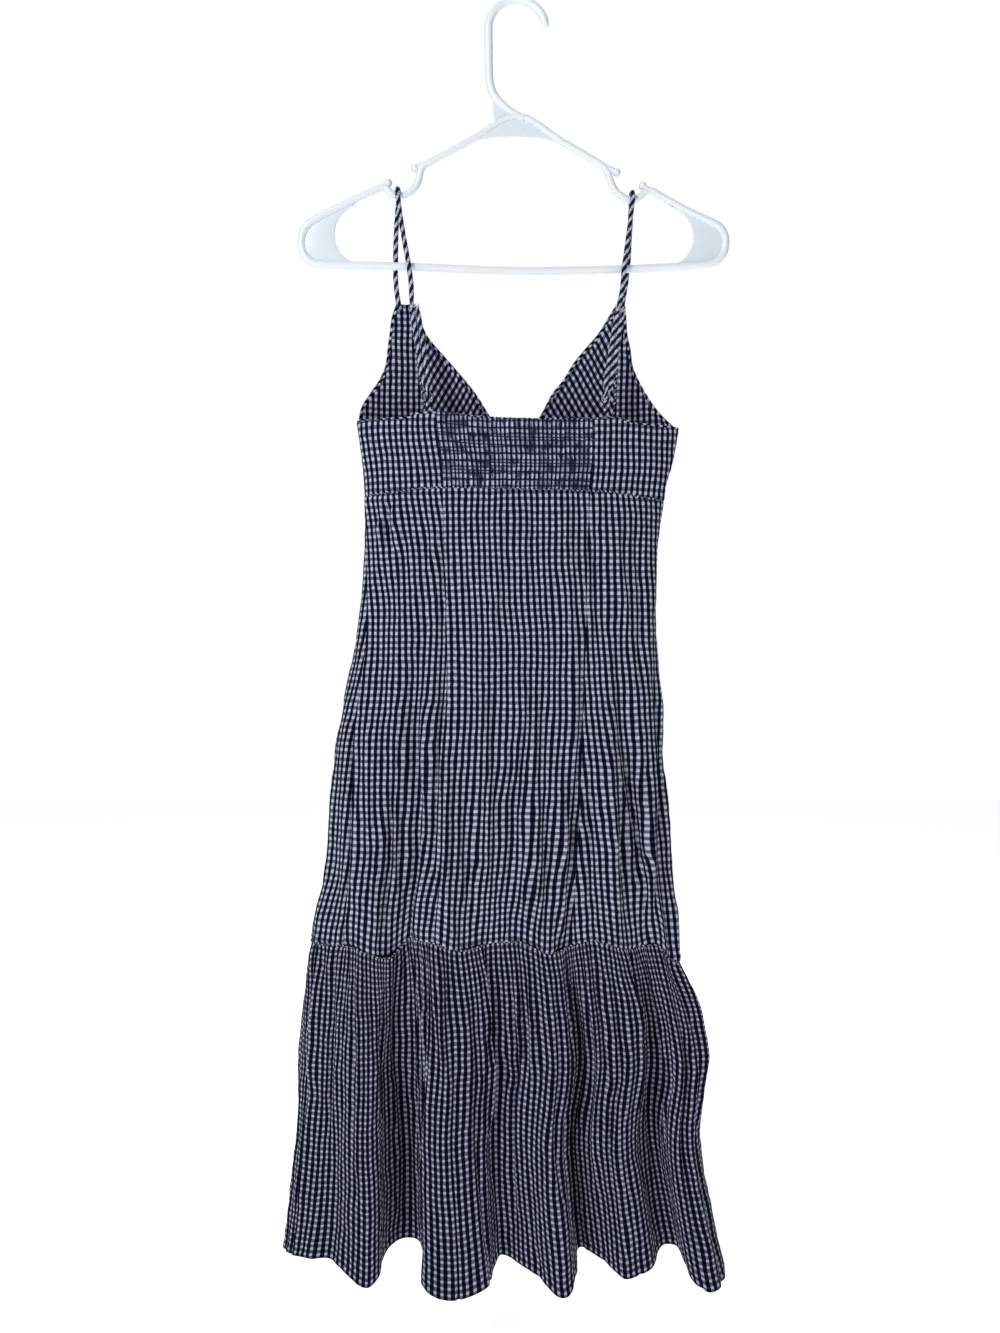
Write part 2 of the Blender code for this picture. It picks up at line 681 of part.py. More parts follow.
def make_slider(hand, centre, down, side, pinch, paint):
    """A small flat band round both runs of the strap."""
    width = 2 * (pinch + STRAP_PINCHED + 1.5 * GAP)
    depth = 2 * (STRAP_PINCHED + 1.5 * GAP)
    curve = flat_curve("slider_" + hand, SLIDER_HEIGHT)
    flat_outline(curve, rounded_box(width, depth, depth / 2 - 0.0001))
    flat_outline(
        curve,
        rounded_box(width + 2 * SLIDER_WALL, depth + 2 * SLIDER_WALL, depth / 2 + SLIDER_WALL - 0.0001),
    )
    slider = placed("slider_" + hand, curve, paint)
    slider.location = centre
    slider.rotation_euler = Matrix((side, -down.cross(side), -down)).transposed().to_euler()


def make_straps(paint, clear):
    make_strap(
        "left",
        peak=(-0.1190, 0.0085, -0.2950),
        front=((-0.1222, 0.0085, -0.284), (-0.1232, 0.0082, -0.262), (-0.1225, 0.0076, -0.225)),
        notch=(-0.1200, -0.1920),
        rear=((-0.1155, -0.0076, -0.225), (-0.1083, -0.0082, -0.266), (-0.1060, -0.0084, -0.286)),
        slider=(-0.1028, -0.0085, -0.3055),
        ring_x=-0.0885,
        ring_z=-0.3970,
        paint=paint,
        clear=clear,
    )
    make_strap(
        "right",
        peak=(0.1045, 0.0085, -0.2950),
        front=((0.1075, 0.0085, -0.284), (0.1105, 0.0082, -0.262), (0.1125, 0.0076, -0.228)),
        notch=(0.1140, -0.1960),
        rear=((0.1105, -0.0076, -0.228), (0.1055, -0.0082, -0.266), (0.1035, -0.0084, -0.288)),
        slider=(0.1014, -0.0085, -0.3095),
        ring_x=0.0862,
        ring_z=-0.3994,
        paint=paint,
        clear=clear,
    )


def as_mesh(made):
    """A curve object made a welded mesh object in its place."""
    graph = bpy.context.evaluated_depsgraph_get()
    mesh = bpy.data.meshes.new_from_object(made.evaluated_get(graph))
    bm = bmesh.new()
    bm.from_mesh(mesh)
    bmesh.ops.remove_doubles(bm, verts=bm.verts[:], dist=0.00001)
    bmesh.ops.recalc_face_normals(bm, faces=bm.faces[:])
    bm.to_mesh(mesh)
    bm.free()
    solid = bpy.data.objects.new(made.name + "_solid", mesh)
    solid.matrix_world = made.matrix_world.copy()
    bpy.data.collections["hanger_parts"].objects.link(solid)
    solid.hide_render = True
    solid.display_type = "WIRE"
    bpy.data.objects.remove(made, do_unlink=True)
    return solid


def hanger_piece(name, flat_points, radii, base, closed=False):
    points = [(x, 0.0, z) for x, z in flat_points]
    made = route(points, radii, name, base, bpy.data.materials["hanger_plastic"], closed)
    bpy.context.view_layer.update()
    return as_mesh(made)


def web(name, outline):
    curve = flat_curve(name, WEB_THICK)
    flat_outline(curve, outline)
    made = placed(name, curve, bpy.data.materials["hanger_plastic"])
    made.rotation_euler = (math.pi / 2, 0, 0)
    bpy.context.view_layer.update()
    return as_mesh(made)


# The hanger's centre line: from the top down the left arm, its notch and end, along the bar, and back up.
FRAME_LEFT = (
    (-0.001, -0.112), (-0.047, -0.1365), (-0.088, -0.1585), (-0.0945, -0.1625), (-0.0975, -0.1680),
    (-0.0992, -0.1760), (-0.1035, -0.1845), (-0.1110, -0.1900), (-0.1200, -0.1920), (-0.1275, -0.1885),
    (-0.1318, -0.1840), (-0.1370, -0.1838), (-0.1480, -0.1885), (-0.178, -0.203), (-0.203, -0.2160),
    (-0.2110, -0.2225), (-0.2155, -0.2310), (-0.2165, -0.2400), (-0.2145, -0.2490), (-0.2090, -0.2560),
    (-0.2005, -0.2600),
)
BAR = ((-0.173, -0.2615), (-0.118, -0.2625), (-0.003, -0.2670), (0.100, -0.2655), (0.165, -0.2625))
FRAME_RIGHT = (
    (0.1915, -0.2600), (0.2000, -0.2560), (0.2055, -0.2490), (0.2075, -0.2400), (0.2065, -0.2310),
    (0.2020, -0.2235), (0.194, -0.2185), (0.168, -0.206), (0.1400, -0.1905), (0.1330, -0.1868),
    (0.1275, -0.1880), (0.1220, -0.1930), (0.114, -0.1960), (0.1050, -0.1930), (0.0975, -0.1870),
    (0.0930, -0.1785), (0.0900, -0.1695), (0.0865, -0.1640), (0.0810, -0.1595), (0.042, -0.1365),
)


def bar_share(place):
    """The bar and the ends are a little thicker than the arms."""
    return BAR_RADIUS / ARM_RADIUS if place[1] < -0.21 else 1.0


def make_hanger(paint):
    frame_points = [*FRAME_LEFT, *BAR, *FRAME_RIGHT]
    shares = [bar_share(point) for point in frame_points]
    frame = hanger_piece("frame", frame_points, shares, ARM_RADIUS, closed=True)
    hook = arc(HOOK_CENTRE, HOOK_RADIUS, math.radians(8), math.pi, 16)
    hook += [(-0.0292, -0.045), (-0.0287, -0.074), (-0.0255, -0.0880), (-0.0190, -0.0975), (-0.0080, -0.1070)]
    hook.append((0.006, -0.1150))
    shares = [0.55, 0.85] + [1.0] * (len(hook) - 4) + [0.92, 0.85]
    hook.insert(0, (hook[0][0] + 0.0003, hook[0][1] - 0.0022))
    shares.insert(0, 0.25)
    pieces = [hanger_piece("hook", hook, shares, HOOK_WIRE)]
    stubs = (
        ("finger_inner_left", (-0.088, -0.1585), (-0.104, -0.1645)),
        ("finger_outer_left", (-0.137, -0.1840), (-0.1290, -0.1785)),
        ("finger_inner_right", (0.083, -0.1610), (0.0995, -0.1690)),
        ("finger_outer_right", (0.131, -0.1860), (0.1240, -0.1815)),
    )
    for name, root, tip in stubs:
        nearly = tuple(r + (t - r) * 0.85 for r, t in zip(root, tip))
        pieces.append(hanger_piece(name, (root, nearly, tip), (0.9, 0.9, 0.5), ARM_RADIUS))
    pieces.append(web("web_top", [(-0.050, -0.1375), (-0.001, -0.1115), (0.044, -0.1385), (0.022, -0.1335),
                                  (-0.003, -0.1320), (-0.028, -0.1335)]))
    pieces.append(web("web_shank", [(-0.0270, -0.0850), (-0.0040, -0.1095), (-0.0220, -0.1225)]))
    left_arc = arc((-0.1530, -0.2305), 0.0310, math.radians(110), math.radians(250), 8)
    pieces.append(web("web_left", [*left_arc, (-0.173, -0.2615), (-0.202, -0.2593), (-0.2125, -0.2518),
                                   (-0.2163, -0.239), (-0.2123, -0.226), (-0.204, -0.2172), (-0.178, -0.2030)]))
    right_arc = arc((0.1450, -0.2325), 0.0310, math.radians(70), math.radians(-70), 8)
    pieces.append(web("web_right", [*right_arc, (0.165, -0.2625), (0.193, -0.2593), (0.2033, -0.2518),
                                    (0.2073, -0.239), (0.2033, -0.227), (0.195, -0.2192), (0.168, -0.2058)]))
    joined = bpy.data.objects.new("hanger", frame.data)
    joined.data.materials.clear()
    joined.data.materials.append(paint)
    bpy.data.collections["midi_dress"].objects.link(joined)
    bpy.data.objects.remove(frame, do_unlink=True)
    for piece in pieces:
        union = joined.modifiers.new(piece.name, "BOOLEAN")
        union.operation = "UNION"
        union.solver = "EXACT"
        union.object = piece


def main():
    clear_scene()
    for name in ("midi_dress", "hanger_parts"):
        bpy.context.scene.collection.children.link(bpy.data.collections.new(name))
    cotton = material("checked_cotton", COTTON, 0.85)
    plastic = material("hanger_plastic", PLASTIC, 0.3)
    clear = material("clear_plastic", CLEAR, 0.2)
    make_hanger(plastic)
    make_straps(cotton, clear)
    make_back(cotton)
    make_front(cotton)
    make_skirt(cotton)
    sides = (*RUFFLE_SIDES, RUFFLE_SIDES[0] + len(WAVES["q"]))
    for name, first, last, gathers in zip(("ruffle_back", "ruffle_front"), sides, sides[1:], RUFFLE_GATHERS):
        make_ruffle(name, first, last, gathers, cotton)


main()
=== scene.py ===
"""The looks of a midi dress of crinkled check cotton, hanging on a moulded plastic hanger.

Metres, +Z up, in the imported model's own frame. The dress's back faces -Y, and so does the camera.

Round the dress, q counts from 0 at the left edge over the back to 1 at the right edge, and on over the
front to 2 at the left edge again. A share is how far across a point lies, 0 at the left edge.
Every piece of cloth carries a UV map in metres of flat cloth: across the warp and down it.
"""

import math

import bmesh
import bpy
import numpy as np
from mathutils import Matrix, Vector


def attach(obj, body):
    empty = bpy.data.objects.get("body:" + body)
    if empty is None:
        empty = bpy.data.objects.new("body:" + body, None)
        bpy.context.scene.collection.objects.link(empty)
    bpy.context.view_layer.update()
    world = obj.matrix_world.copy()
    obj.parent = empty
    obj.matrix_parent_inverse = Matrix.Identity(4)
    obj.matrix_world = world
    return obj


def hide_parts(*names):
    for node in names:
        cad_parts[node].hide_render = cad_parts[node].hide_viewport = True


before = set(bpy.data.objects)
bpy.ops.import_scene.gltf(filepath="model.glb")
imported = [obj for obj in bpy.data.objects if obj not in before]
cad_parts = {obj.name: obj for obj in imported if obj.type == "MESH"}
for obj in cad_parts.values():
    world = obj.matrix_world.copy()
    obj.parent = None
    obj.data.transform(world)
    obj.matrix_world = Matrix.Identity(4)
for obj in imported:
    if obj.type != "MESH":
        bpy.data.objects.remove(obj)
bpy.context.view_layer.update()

# The cloth's thickness, the gap at an upright seam and at a level one, and how square the dress's rings are.
CLOTH = 0.0004
GAP = 0.0003
LEVEL_GAP = 0.0004
ROUNDNESS = 2.5

# The height of the cups' peaks, the neck's point across and up, and the height of the underarm.
PEAK = -0.2985
V_POINT = (-0.003, -0.442)
UNDERARM = -0.4195

# The dress's rings by height: their left and right edges, how far they reach behind and in front, and how
# far forward their sides lie.
SECTIONS = {
    "z": (-0.290, -0.350, -0.420, -0.455, -0.492, -0.560, -0.630, -0.690, -0.750, -0.850, -0.945, -1.050,
          -1.150, -1.270),
    "left": (-0.161, -0.161, -0.161, -0.156, -0.153, -0.154, -0.160, -0.172, -0.184, -0.193, -0.208, -0.208,
             -0.200, -0.190),
    "right": (0.160, 0.160, 0.160, 0.155, 0.146, 0.140, 0.139, 0.143, 0.148, 0.155, 0.162, 0.174,
              0.132, 0.120),
    "back": (0.018, 0.020, 0.022, 0.023, 0.024, 0.027, 0.030, 0.032, 0.034, 0.036, 0.037, 0.036,
             0.034, 0.030),
    "front": (0.007, 0.013, 0.019, 0.021, 0.022, 0.026, 0.032, 0.038, 0.043, 0.050, 0.056, 0.060,
              0.062, 0.062),
    "side": (0.0, 0.0, 0.0, 0.0, 0.0, 0.0, 0.001, 0.002, 0.003, 0.005, 0.007, 0.010,
             0.015, 0.020),
}

# Shares of the seams that run down the dress: the side seams, then the back's and the front's.
SEAMS = {
    "z": (-0.300, -0.415, -0.499, -0.560, -0.630, -0.720, -0.820, -0.945),
    "side_left": (0.0, 0.0, 0.0, 0.010, 0.032, 0.056, 0.076, 0.097),
    "back_left": (0.25, 0.25, 0.265, 0.276, 0.300, 0.331, 0.338, 0.342),
    "back_right": (0.733, 0.733, 0.749, 0.753, 0.757, 0.748, 0.725, 0.702),
    "side_right": (1.0, 1.0, 1.0, 0.992, 0.985, 0.975, 0.968, 0.960),
    "front_right": (0.815, 0.806, 0.829, 0.815, 0.790, 0.760, 0.735, 0.715),
    "front_left": (0.170, 0.208, 0.225, 0.240, 0.260, 0.280, 0.290, 0.300),
}

# Heights of the seams and edges that run round it, by q.
BUST_SEAM = {
    "q": (0.0, 0.20, 0.36, 0.52, 0.68, 0.82, 1.0, 1.25, 1.50, 1.75, 2.0),
    "z": (-0.4930, -0.4915, -0.4867, -0.4885, -0.4908, -0.4960, -0.4990, -0.4960, -0.4925, -0.4930,
          -0.4930),
}
BACK_TOP = {
    "q": (0.0, 0.15, 0.29, 0.318, 0.36, 0.45, 0.53, 0.63, 0.67, 0.74, 1.0),
    "z": (-0.4190, -0.4187, -0.4178, -0.4135, -0.4128, -0.4180, -0.4200, -0.4190, -0.4178, -0.4235, -0.4260),
}
RUFFLE_SEAM = {
    "q": (0.0, 0.24, 0.325, 0.39, 0.455, 0.52, 0.58, 0.64, 0.71, 0.80, 1.0, 1.2, 1.5, 1.8, 2.0),
    "z": (-0.938, -0.939, -0.941, -0.9375, -0.9395, -0.937, -0.9395, -0.937, -0.939, -0.9395, -0.948,
          -0.944, -0.939, -0.940, -0.938),
}

# Edges of the front bodice, as they rise.
ARMHOLE = {
    "z": (-0.426, -0.405, -0.3885, -0.373, -0.358, -0.3425, -0.328, -0.3135, -0.297),
    "left": (-0.161, -0.1580, -0.1490, -0.1390, -0.1330, -0.1310, -0.1290, -0.1270, -0.1216),
    "right": (0.160, 0.1410, 0.1300, 0.1215, 0.1155, 0.1134, 0.1101, 0.1090, 0.1075),
}
NECKLINE = {
    "z": (-0.442, -0.409, -0.387, -0.372, -0.357, -0.3426, -0.3274, -0.300),
    "left": (-0.0030, -0.0282, -0.0423, -0.0545, -0.0676, -0.0807, -0.0928, -0.1036),
    "right": (-0.0030, 0.0226, 0.0347, 0.0469, 0.0560, 0.0680, 0.0810, 0.0985),
}
PRINCESS_TOP = {
    "z": (-0.442, -0.407, -0.350, -0.3015),
    "left": (-0.0905, -0.0941, -0.1020, -0.1086),
    "right": (0.0960, 0.0977, 0.1015, 0.1032),
}

# Long folds of the skirt, between the heights of the bust and the ruffle: on which side, share at the bust
# and at the ruffle, how far out it stands there, half its width as a share, and the height where it starts.
FOLDS_TOP = -0.490
FOLDS_FOOT = -0.945
FOLDS = (
    ("back", 0.210, 0.262, -0.0130, 0.055, -0.470),
    ("back", 0.490, 0.490, -0.0060, 0.060, -0.640),
    ("back", 0.560, 0.565, -0.0035, 0.035, -0.700),
    ("back", 0.690, 0.700, -0.0060, 0.045, -0.700),
    ("back", 0.840, 0.890, -0.0085, 0.055, -0.660),
    ("back", 0.130, 0.145, 0.0045, 0.060, -0.650),
    ("back", 0.350, 0.350, 0.0050, 0.070, -0.600),
    ("back", 0.620, 0.630, 0.0045, 0.055, -0.680),
    ("back", 0.790, 0.800, 0.0045, 0.060, -0.680),
    ("front", 0.240, 0.270, -0.0080, 0.070, -0.560),
    ("front", 0.500, 0.480, -0.0070, 0.080, -0.600),
    ("front", 0.720, 0.740, -0.0080, 0.070, -0.620),
    ("front", 0.380, 0.370, 0.0050, 0.070, -0.640),
    ("front", 0.620, 0.610, 0.0050, 0.070, -0.640),
)

# The ruffle's large waves, round from the left edge: the q where each line leaves the gathered seam, and
# where it reaches the hem, which hangs a little lower on the waves that come forward.
WAVES = {
    "q": (0.0, 0.19, 0.235, 0.276, 0.315, 0.335, 0.362, 0.384, 0.400, 0.426, 0.479, 0.496, 0.522, 0.556,
          0.586, 0.602, 0.628, 0.665, 0.710, 0.740, 0.765, 0.780, 0.800, 0.840, 0.900, 0.960, 1.03, 1.09,
          1.20, 1.28, 1.36, 1.43, 1.48, 1.53, 1.59, 1.66, 1.73, 1.84),
    "x": (-0.2395, -0.2085, -0.1825, -0.153, -0.138, -0.130, -0.1165, -0.0995, -0.0935, -0.0705, -0.031,
          -0.018, 0.0115, 0.0375, 0.054, 0.0605, 0.083, 0.104, 0.1305, 0.1445, 0.159, 0.164, 0.1695, 0.1825,
          0.197, 0.203, 0.2035, 0.204, 0.188, 0.150, 0.106, 0.062, 0.026, -0.020, -0.068, -0.115, -0.155,
          -0.205),
    "y": (0.022, -0.006, -0.014, -0.031, -0.025, 0.004, 0.020, 0.012, -0.027, -0.038, -0.030, 0.002,
          -0.020, -0.036, -0.031, 0.008, -0.013, -0.025, -0.019, 0.006, 0.006, -0.014, -0.024, -0.033,
          -0.031, -0.014, 0.008, 0.036, 0.072, 0.092, 0.062, 0.095, 0.064, 0.094, 0.062, 0.098, 0.068,
          0.088),
    "z": (-1.253, -1.251, -1.2505, -1.2665, -1.2605, -1.2462, -1.2453, -1.2468, -1.2635, -1.275, -1.2665,
          -1.2514, -1.256, -1.272, -1.268, -1.2489, -1.249, -1.261, -1.2545, -1.2453, -1.2448, -1.2495,
          -1.2605, -1.2695, -1.2665, -1.261, -1.2535, -1.257, -1.255, -1.2525, -1.256, -1.252, -1.256,
          -1.252, -1.256, -1.2515, -1.2555, -1.253),
}
# How far the tier's seam dips or rises, by q, and how far above and below it the cloth follows.
SEAM_DIPS = {
    "q": (0.0, 0.064, 0.245, 0.336, 0.386, 0.418, 0.464, 0.514, 0.567, 0.643, 0.725, 0.818, 0.872, 1.0, 1.1,
          1.2, 1.3, 1.4, 1.5, 1.6, 1.7, 1.8, 1.92, 2.0),
    "z": (0.001, 0.001, 0.002, -0.007, 0.0085, 0.0080, 0.0, 0.0065, -0.002, 0.0075, -0.001, 0.0025, -0.010,
          -0.011, -0.004, 0.005, -0.005, 0.005, -0.004, 0.005, -0.005, 0.004, -0.002, 0.001),
}
DIP_REACH = 0.050

# The tier: the lines of its side seams, its cut behind and in front, its length, how its waves grow on the
# way down, and how far its rows keep to the spacing at the seam.
RUFFLE_SIDES = (0.55, 27.5)
RUFFLE_CUT = (0.74, 0.69)
RUFFLE_LENGTH = 0.325
FOLD_GROWTH = 0.85
SEAM_SHARE = 0.45

# The shirring: its gathers and elastic rows, the share of the header above them, and its cut.
SHIRR_GATHERS = 34
SHIRR_ROWS = 7
SHIRR_HEADER = 0.14
SHIRR_CUT = 0.275

# Creases pressed into each side of the skirt by hanging and folding, in millimetres: x and z where each one
# starts and ends, how far it stands out before its growth, and half its width.
SKIRT_CREASE_GROWTH = 3.6
SKIRT_CREASES = {
    "back": (
        (-74, -585, -83, -920, -1.7, 5.2),
        (-112, -720, -137, -938, -1.6, 5.6),
        (-94, -800, -98, -938, 1.2, 5.2),
        (12, -660, -9, -938, -1.3, 5),
        (26, -740, 17, -938, 1.2, 5.2),
        (64, -640, 47, -938, -1.7, 5.4),
        (94, -640, 128, -930, -1.7, 5.6),
        (135, -670, 157, -900, -1.5, 5.4),
        (-130, -500, -124, -556, -1.1, 5),
        (-124, -498, -121, -540, 0.9, 4.5),
        (-137, -505, -134, -545, 0.9, 5),
        (-112, -515, -108, -640, -0.8, 7),
        (-88, -500, -84, -585, 1, 6),
        (-72, -505, -78, -700, -1.2, 6.5),
        (-52, -500, -52, -610, -0.7, 6),
        (-20, -500, -24, -640, 0.7, 8),
        (12, -500, 16, -600, -0.7, 7),
        (48, -500, 50, -650, 0.8, 7),
        (74, -505, 78, -640, -1.1, 6),
        (98, -510, 104, -640, 1.2, 6.5),
        (118, -515, 122, -690, -1, 7),
        (-150, -690, -160, -900, 1.2, 9),
        (-141, -760, -146, -938, -1.5, 7),
        (-120, -800, -117, -925, 1.2, 6),
        (-98, -700, -103, -900, -1.6, 7),
        (-75, -730, -66, -935, 1.6, 8),
        (-50, -780, -47, -935, -1.3, 7),
        (-30, -660, -34, -900, 1.4, 8.5),
        (-8, -720, -8, -935, -1.6, 6.5),
        (6, -810, 10, -938, 1.3, 6),
        (24, -690, 26, -920, -1.4, 7.5),
        (44, -760, 46, -935, 1.4, 8),
        (66, -740, 74, -935, -1.6, 6.5),
        (90, -700, 96, -925, 1.5, 8),
        (110, -735, 118, -880, -2, 7),
        (128, -790, 134, -935, 1.4, 6),
        (142, -700, 148, -930, -1.3, 6.5),
    ),
    "front": (
        (-120, -505, -128, -640, 1.2, 7.5),
        (-86, -500, -90, -690, -1.3, 7),
        (-50, -500, -50, -620, 0.9, 8),
        (-12, -500, -14, -700, -0.9, 8),
        (34, -500, 40, -640, 1, 8),
        (80, -505, 84, -690, -1.2, 7),
        (112, -510, 120, -640, 1, 7),
        (-160, -700, -166, -930, -1.4, 8),
        (-124, -690, -132, -910, 1.6, 8.5),
        (-96, -760, -100, -935, -1.7, 7),
        (-64, -700, -68, -930, 1.5, 8),
        (-36, -790, -34, -938, -1.5, 6.5),
        (-6, -710, -2, -925, 1.5, 8.5),
        (26, -770, 28, -940, -1.6, 7),
        (58, -700, 64, -920, 1.4, 8),
        (90, -740, 96, -940, -1.7, 7),
        (122, -700, 130, -930, 1.4, 8),
    ),
}

# Creases of the tier that run down from its gathers: share of the way round from the left side seam, how
# far down each one starts and ends, its lean as a share, how far it stands out before its growth, and half
# its width.
TIER_CREASE_GROWTH = 2.6
RUFFLE_CREASES = (
    (0.020, 0.00, 0.62, 0.002, -0.0016, 0.0070),
    (0.052, 0.04, 0.80, 0.004, 0.0018, 0.0080),
    (0.082, 0.00, 0.55, 0.000, -0.0018, 0.0060),
    (0.104, 0.10, 0.95, 0.006, -0.0024, 0.0080),
    (0.128, 0.00, 0.70, 0.003, 0.0020, 0.0075),
    (0.150, 0.05, 0.66, -0.004, -0.0026, 0.0065),
    (0.172, 0.00, 0.42, 0.000, 0.0018, 0.0060),
    (0.196, 0.12, 0.92, 0.004, -0.0022, 0.0080),
    (0.216, 0.00, 0.58, -0.002, 0.0022, 0.0070),
    (0.238, 0.06, 0.86, 0.003, -0.0024, 0.0070),
    (0.258, 0.00, 0.50, 0.000, 0.0019, 0.0060),
    (0.278, 0.08, 0.74, 0.005, -0.0028, 0.0065),
    (0.298, 0.00, 0.90, -0.003, 0.0021, 0.0080),
    (0.318, 0.10, 0.60, 0.002, -0.0022, 0.0060),
    (0.338, 0.00, 0.78, 0.006, 0.0024, 0.0075),
    (0.360, 0.05, 0.96, -0.004, -0.0026, 0.0075),
    (0.380, 0.00, 0.52, 0.000, 0.0018, 0.0060),
    (0.400, 0.10, 0.82, 0.004, -0.0022, 0.0080),
    (0.422, 0.00, 0.64, -0.002, 0.0020, 0.0070),
    (0.444, 0.06, 0.94, 0.005, -0.0026, 0.0080),
    (0.466, 0.00, 0.56, 0.003, 0.0021, 0.0065),
    (0.486, 0.08, 0.84, -0.002, -0.0020, 0.0070),
    (0.512, 0.00, 0.70, 0.003, 0.0022, 0.0080),
    (0.545, 0.05, 0.90, -0.003, -0.0024, 0.0080),
    (0.580, 0.00, 0.60, 0.002, 0.0020, 0.0070),
    (0.612, 0.10, 0.88, 0.004, -0.0025, 0.0080),
    (0.648, 0.00, 0.74, -0.003, 0.0022, 0.0080),
    (0.684, 0.06, 0.94, 0.002, -0.0024, 0.0080),
    (0.722, 0.00, 0.58, 0.000, 0.0020, 0.0070),
    (0.760, 0.08, 0.86, 0.004, -0.0024, 0.0080),
    (0.800, 0.00, 0.72, -0.004, 0.0022, 0.0080),
    (0.842, 0.05, 0.92, 0.003, -0.0024, 0.0080),
    (0.886, 0.00, 0.62, 0.000, 0.0021, 0.0070),
    (0.930, 0.08, 0.88, -0.003, -0.0022, 0.0080),
    (0.972, 0.00, 0.66, 0.002, 0.0019, 0.0070),
)

# Layers of crumpled waves, over where the cloth hangs: height at the piece's top, what is added to it at its
# foot, length across and down, and the seed.
SKIRT_LAYERS = (
    (0.0008, 0.0036, 0.0130, 0.120, 21),
    (0.0006, 0.0008, 0.0085, 0.045, 22),
    (0.0004, 0.0, 0.0060, 0.009, 23),
)
SKIRT_SWAY = ((0.0004, 0.0016, 0.017, 0.140, 30),)
BACK_SIDE_LAYERS = ((0.0006, 0.0, 0.018, 0.040, 24), (0.00022, 0.0, 0.006, 0.008, 25))
CUP_LAYERS = ((0.0009, 0.0, 0.022, 0.050, 26), (0.00025, 0.0, 0.007, 0.009, 27))
FRONT_SIDE_LAYERS = ((0.0008, 0.0, 0.018, 0.045, 28), (0.00022, 0.0, 0.006, 0.008, 29))

# The same for how the check strays across and down.
CHECK_STRAY = (
    ((0.0012, 0.0, 0.022, 0.040, 0), (0.0003, 0.0, 0.008, 0.012, 1)),
    ((0.0010, 0.0, 0.034, 0.026, 2), (0.0003, 0.0, 0.009, 0.009, 3)),
)

# Layers of waves over the tier's flat cloth: seed, height, length across and down, shift across, and how far
# down each one has started and faded. The stray of its check across and down follows.
TIER_LAYERS = (
    (41, 0.0010, 0.0052, 0.030, 0, 0.0, 0.026),
    (42, 0.0028, 0.0100, 0.080, 7, 0.006, 0.150),
    (43, 0.0034, 0.0200, 0.150, 3, 0.030, 0.360),
    (44, 0.0009, 0.0090, 0.026, 0, 0.0, math.inf),
    (45, 0.0005, 0.0055, 0.0075, 0, 0.0, math.inf),
)
TIER_STRAY = (
    ((47, 0.0014, 0.019, 0.120, 0, 0.0, math.inf), (48, 0.0005, 0.009, 0.026, 0, 0.0, math.inf)),
    ((49, 0.0010, 0.024, 0.034, 0, 0.0, math.inf), (50, 0.0003, 0.008, 0.012, 0, 0.0, math.inf)),
)

# Sharp valleys between the skirt's waves and the tier's: a layer as above, and how narrow they are.
SKIRT_VALLEYS = (0.0002, 0.0018, 0.034, 0.240, 38)
SKIRT_NARROW = 0.16
TIER_VALLEYS = (51, 0.0026, 0.034, 0.260)
TIER_NARROW = 0.13

# The soft upright folds of the cups and the pieces beside them: height, then for each piece its place (from
# the princess seam, or x), half its width, the height where it starts, and over how much it grows.
SOFT_FOLD = 0.0012
CUP_FOLD = (0.017, 0.010, -0.47, 0.05)
SIDE_FOLDS = {"left": (-0.135, 0.006, -0.43, 0.03), "right": (0.118, 0.006, -0.43, 0.03)}

# Sewing: the depth of a seam's groove, the length of its puckers, how far the check closes up, the solids'
# wall, the hem's depth, a stitch's length and the share of it that shows, and the radii of threads.
SEAM_GROOVE = 0.0008
PUCKER = 0.0042
SKIRT_CLOSING = 1.3
BACK_SIDE_CLOSING = 0.93
CAD_WALL = 0.0012
HEM_WIDTH = 0.0078
STITCH = 0.0026
STITCH_SHARE = 0.72
STITCH_RADIUS = 0.00022
ELASTIC_RADIUS = 0.00052

# Folds and rolls along edges and seams: half the width, and the thickness.
BINDING = (0.0017, 0.0009)
TOP_FOLD = (0.0009, 0.0007)
SHIRRED_FOLD = (0.0008, 0.0006)
SIDE_ROLL = (0.0016, 0.0013)
PRINCESS_ROLL = (0.0011, 0.0012)
SEAM_ROLL = 0.00075

# The slant of the grain in bias strips, and of the two ways of the cups' check.
BIAS = 0.785
CUP_STRIPE = math.radians(60.0)
CUP_CROSS = math.radians(56.0)
STRAP_REPEAT = 0.0110

# Straps, rings, tabs and sliders.
STRAP_RADIUS = 0.0025
STRAP_PINCHED = 0.0017
PINCH_REACH = 0.0045
RING_RADIUS = 0.0040
RING_WIRE = 0.00065
TAB_WIDTH = 0.0046
TAB_THICK = 0.0009
SLIDER_HEIGHT = 0.0034
SLIDER_WALL = 0.0009

# The hanger's hook, tubes and webs; its tube is the bar's below the height of BAR_TOP.
HOOK_WIRE = 0.0040
HOOK_RADIUS = 0.0285
HOOK_CENTRE = (-0.001, -0.0245)
ARM_RADIUS = 0.0034
BAR_RADIUS = 0.0038
KNOB_RADIUS = 0.0040
WEB_THICK = 0.0024
WEB_ROUNDING = 0.0004
BAR_TOP = -0.21
HOOK_STEM = (
    (-0.0292, -0.0450), (-0.0287, -0.0740), (-0.0255, -0.0880), (-0.0190, -0.0975), (-0.0080, -0.1070),
    (0.0060, -0.1150),
)

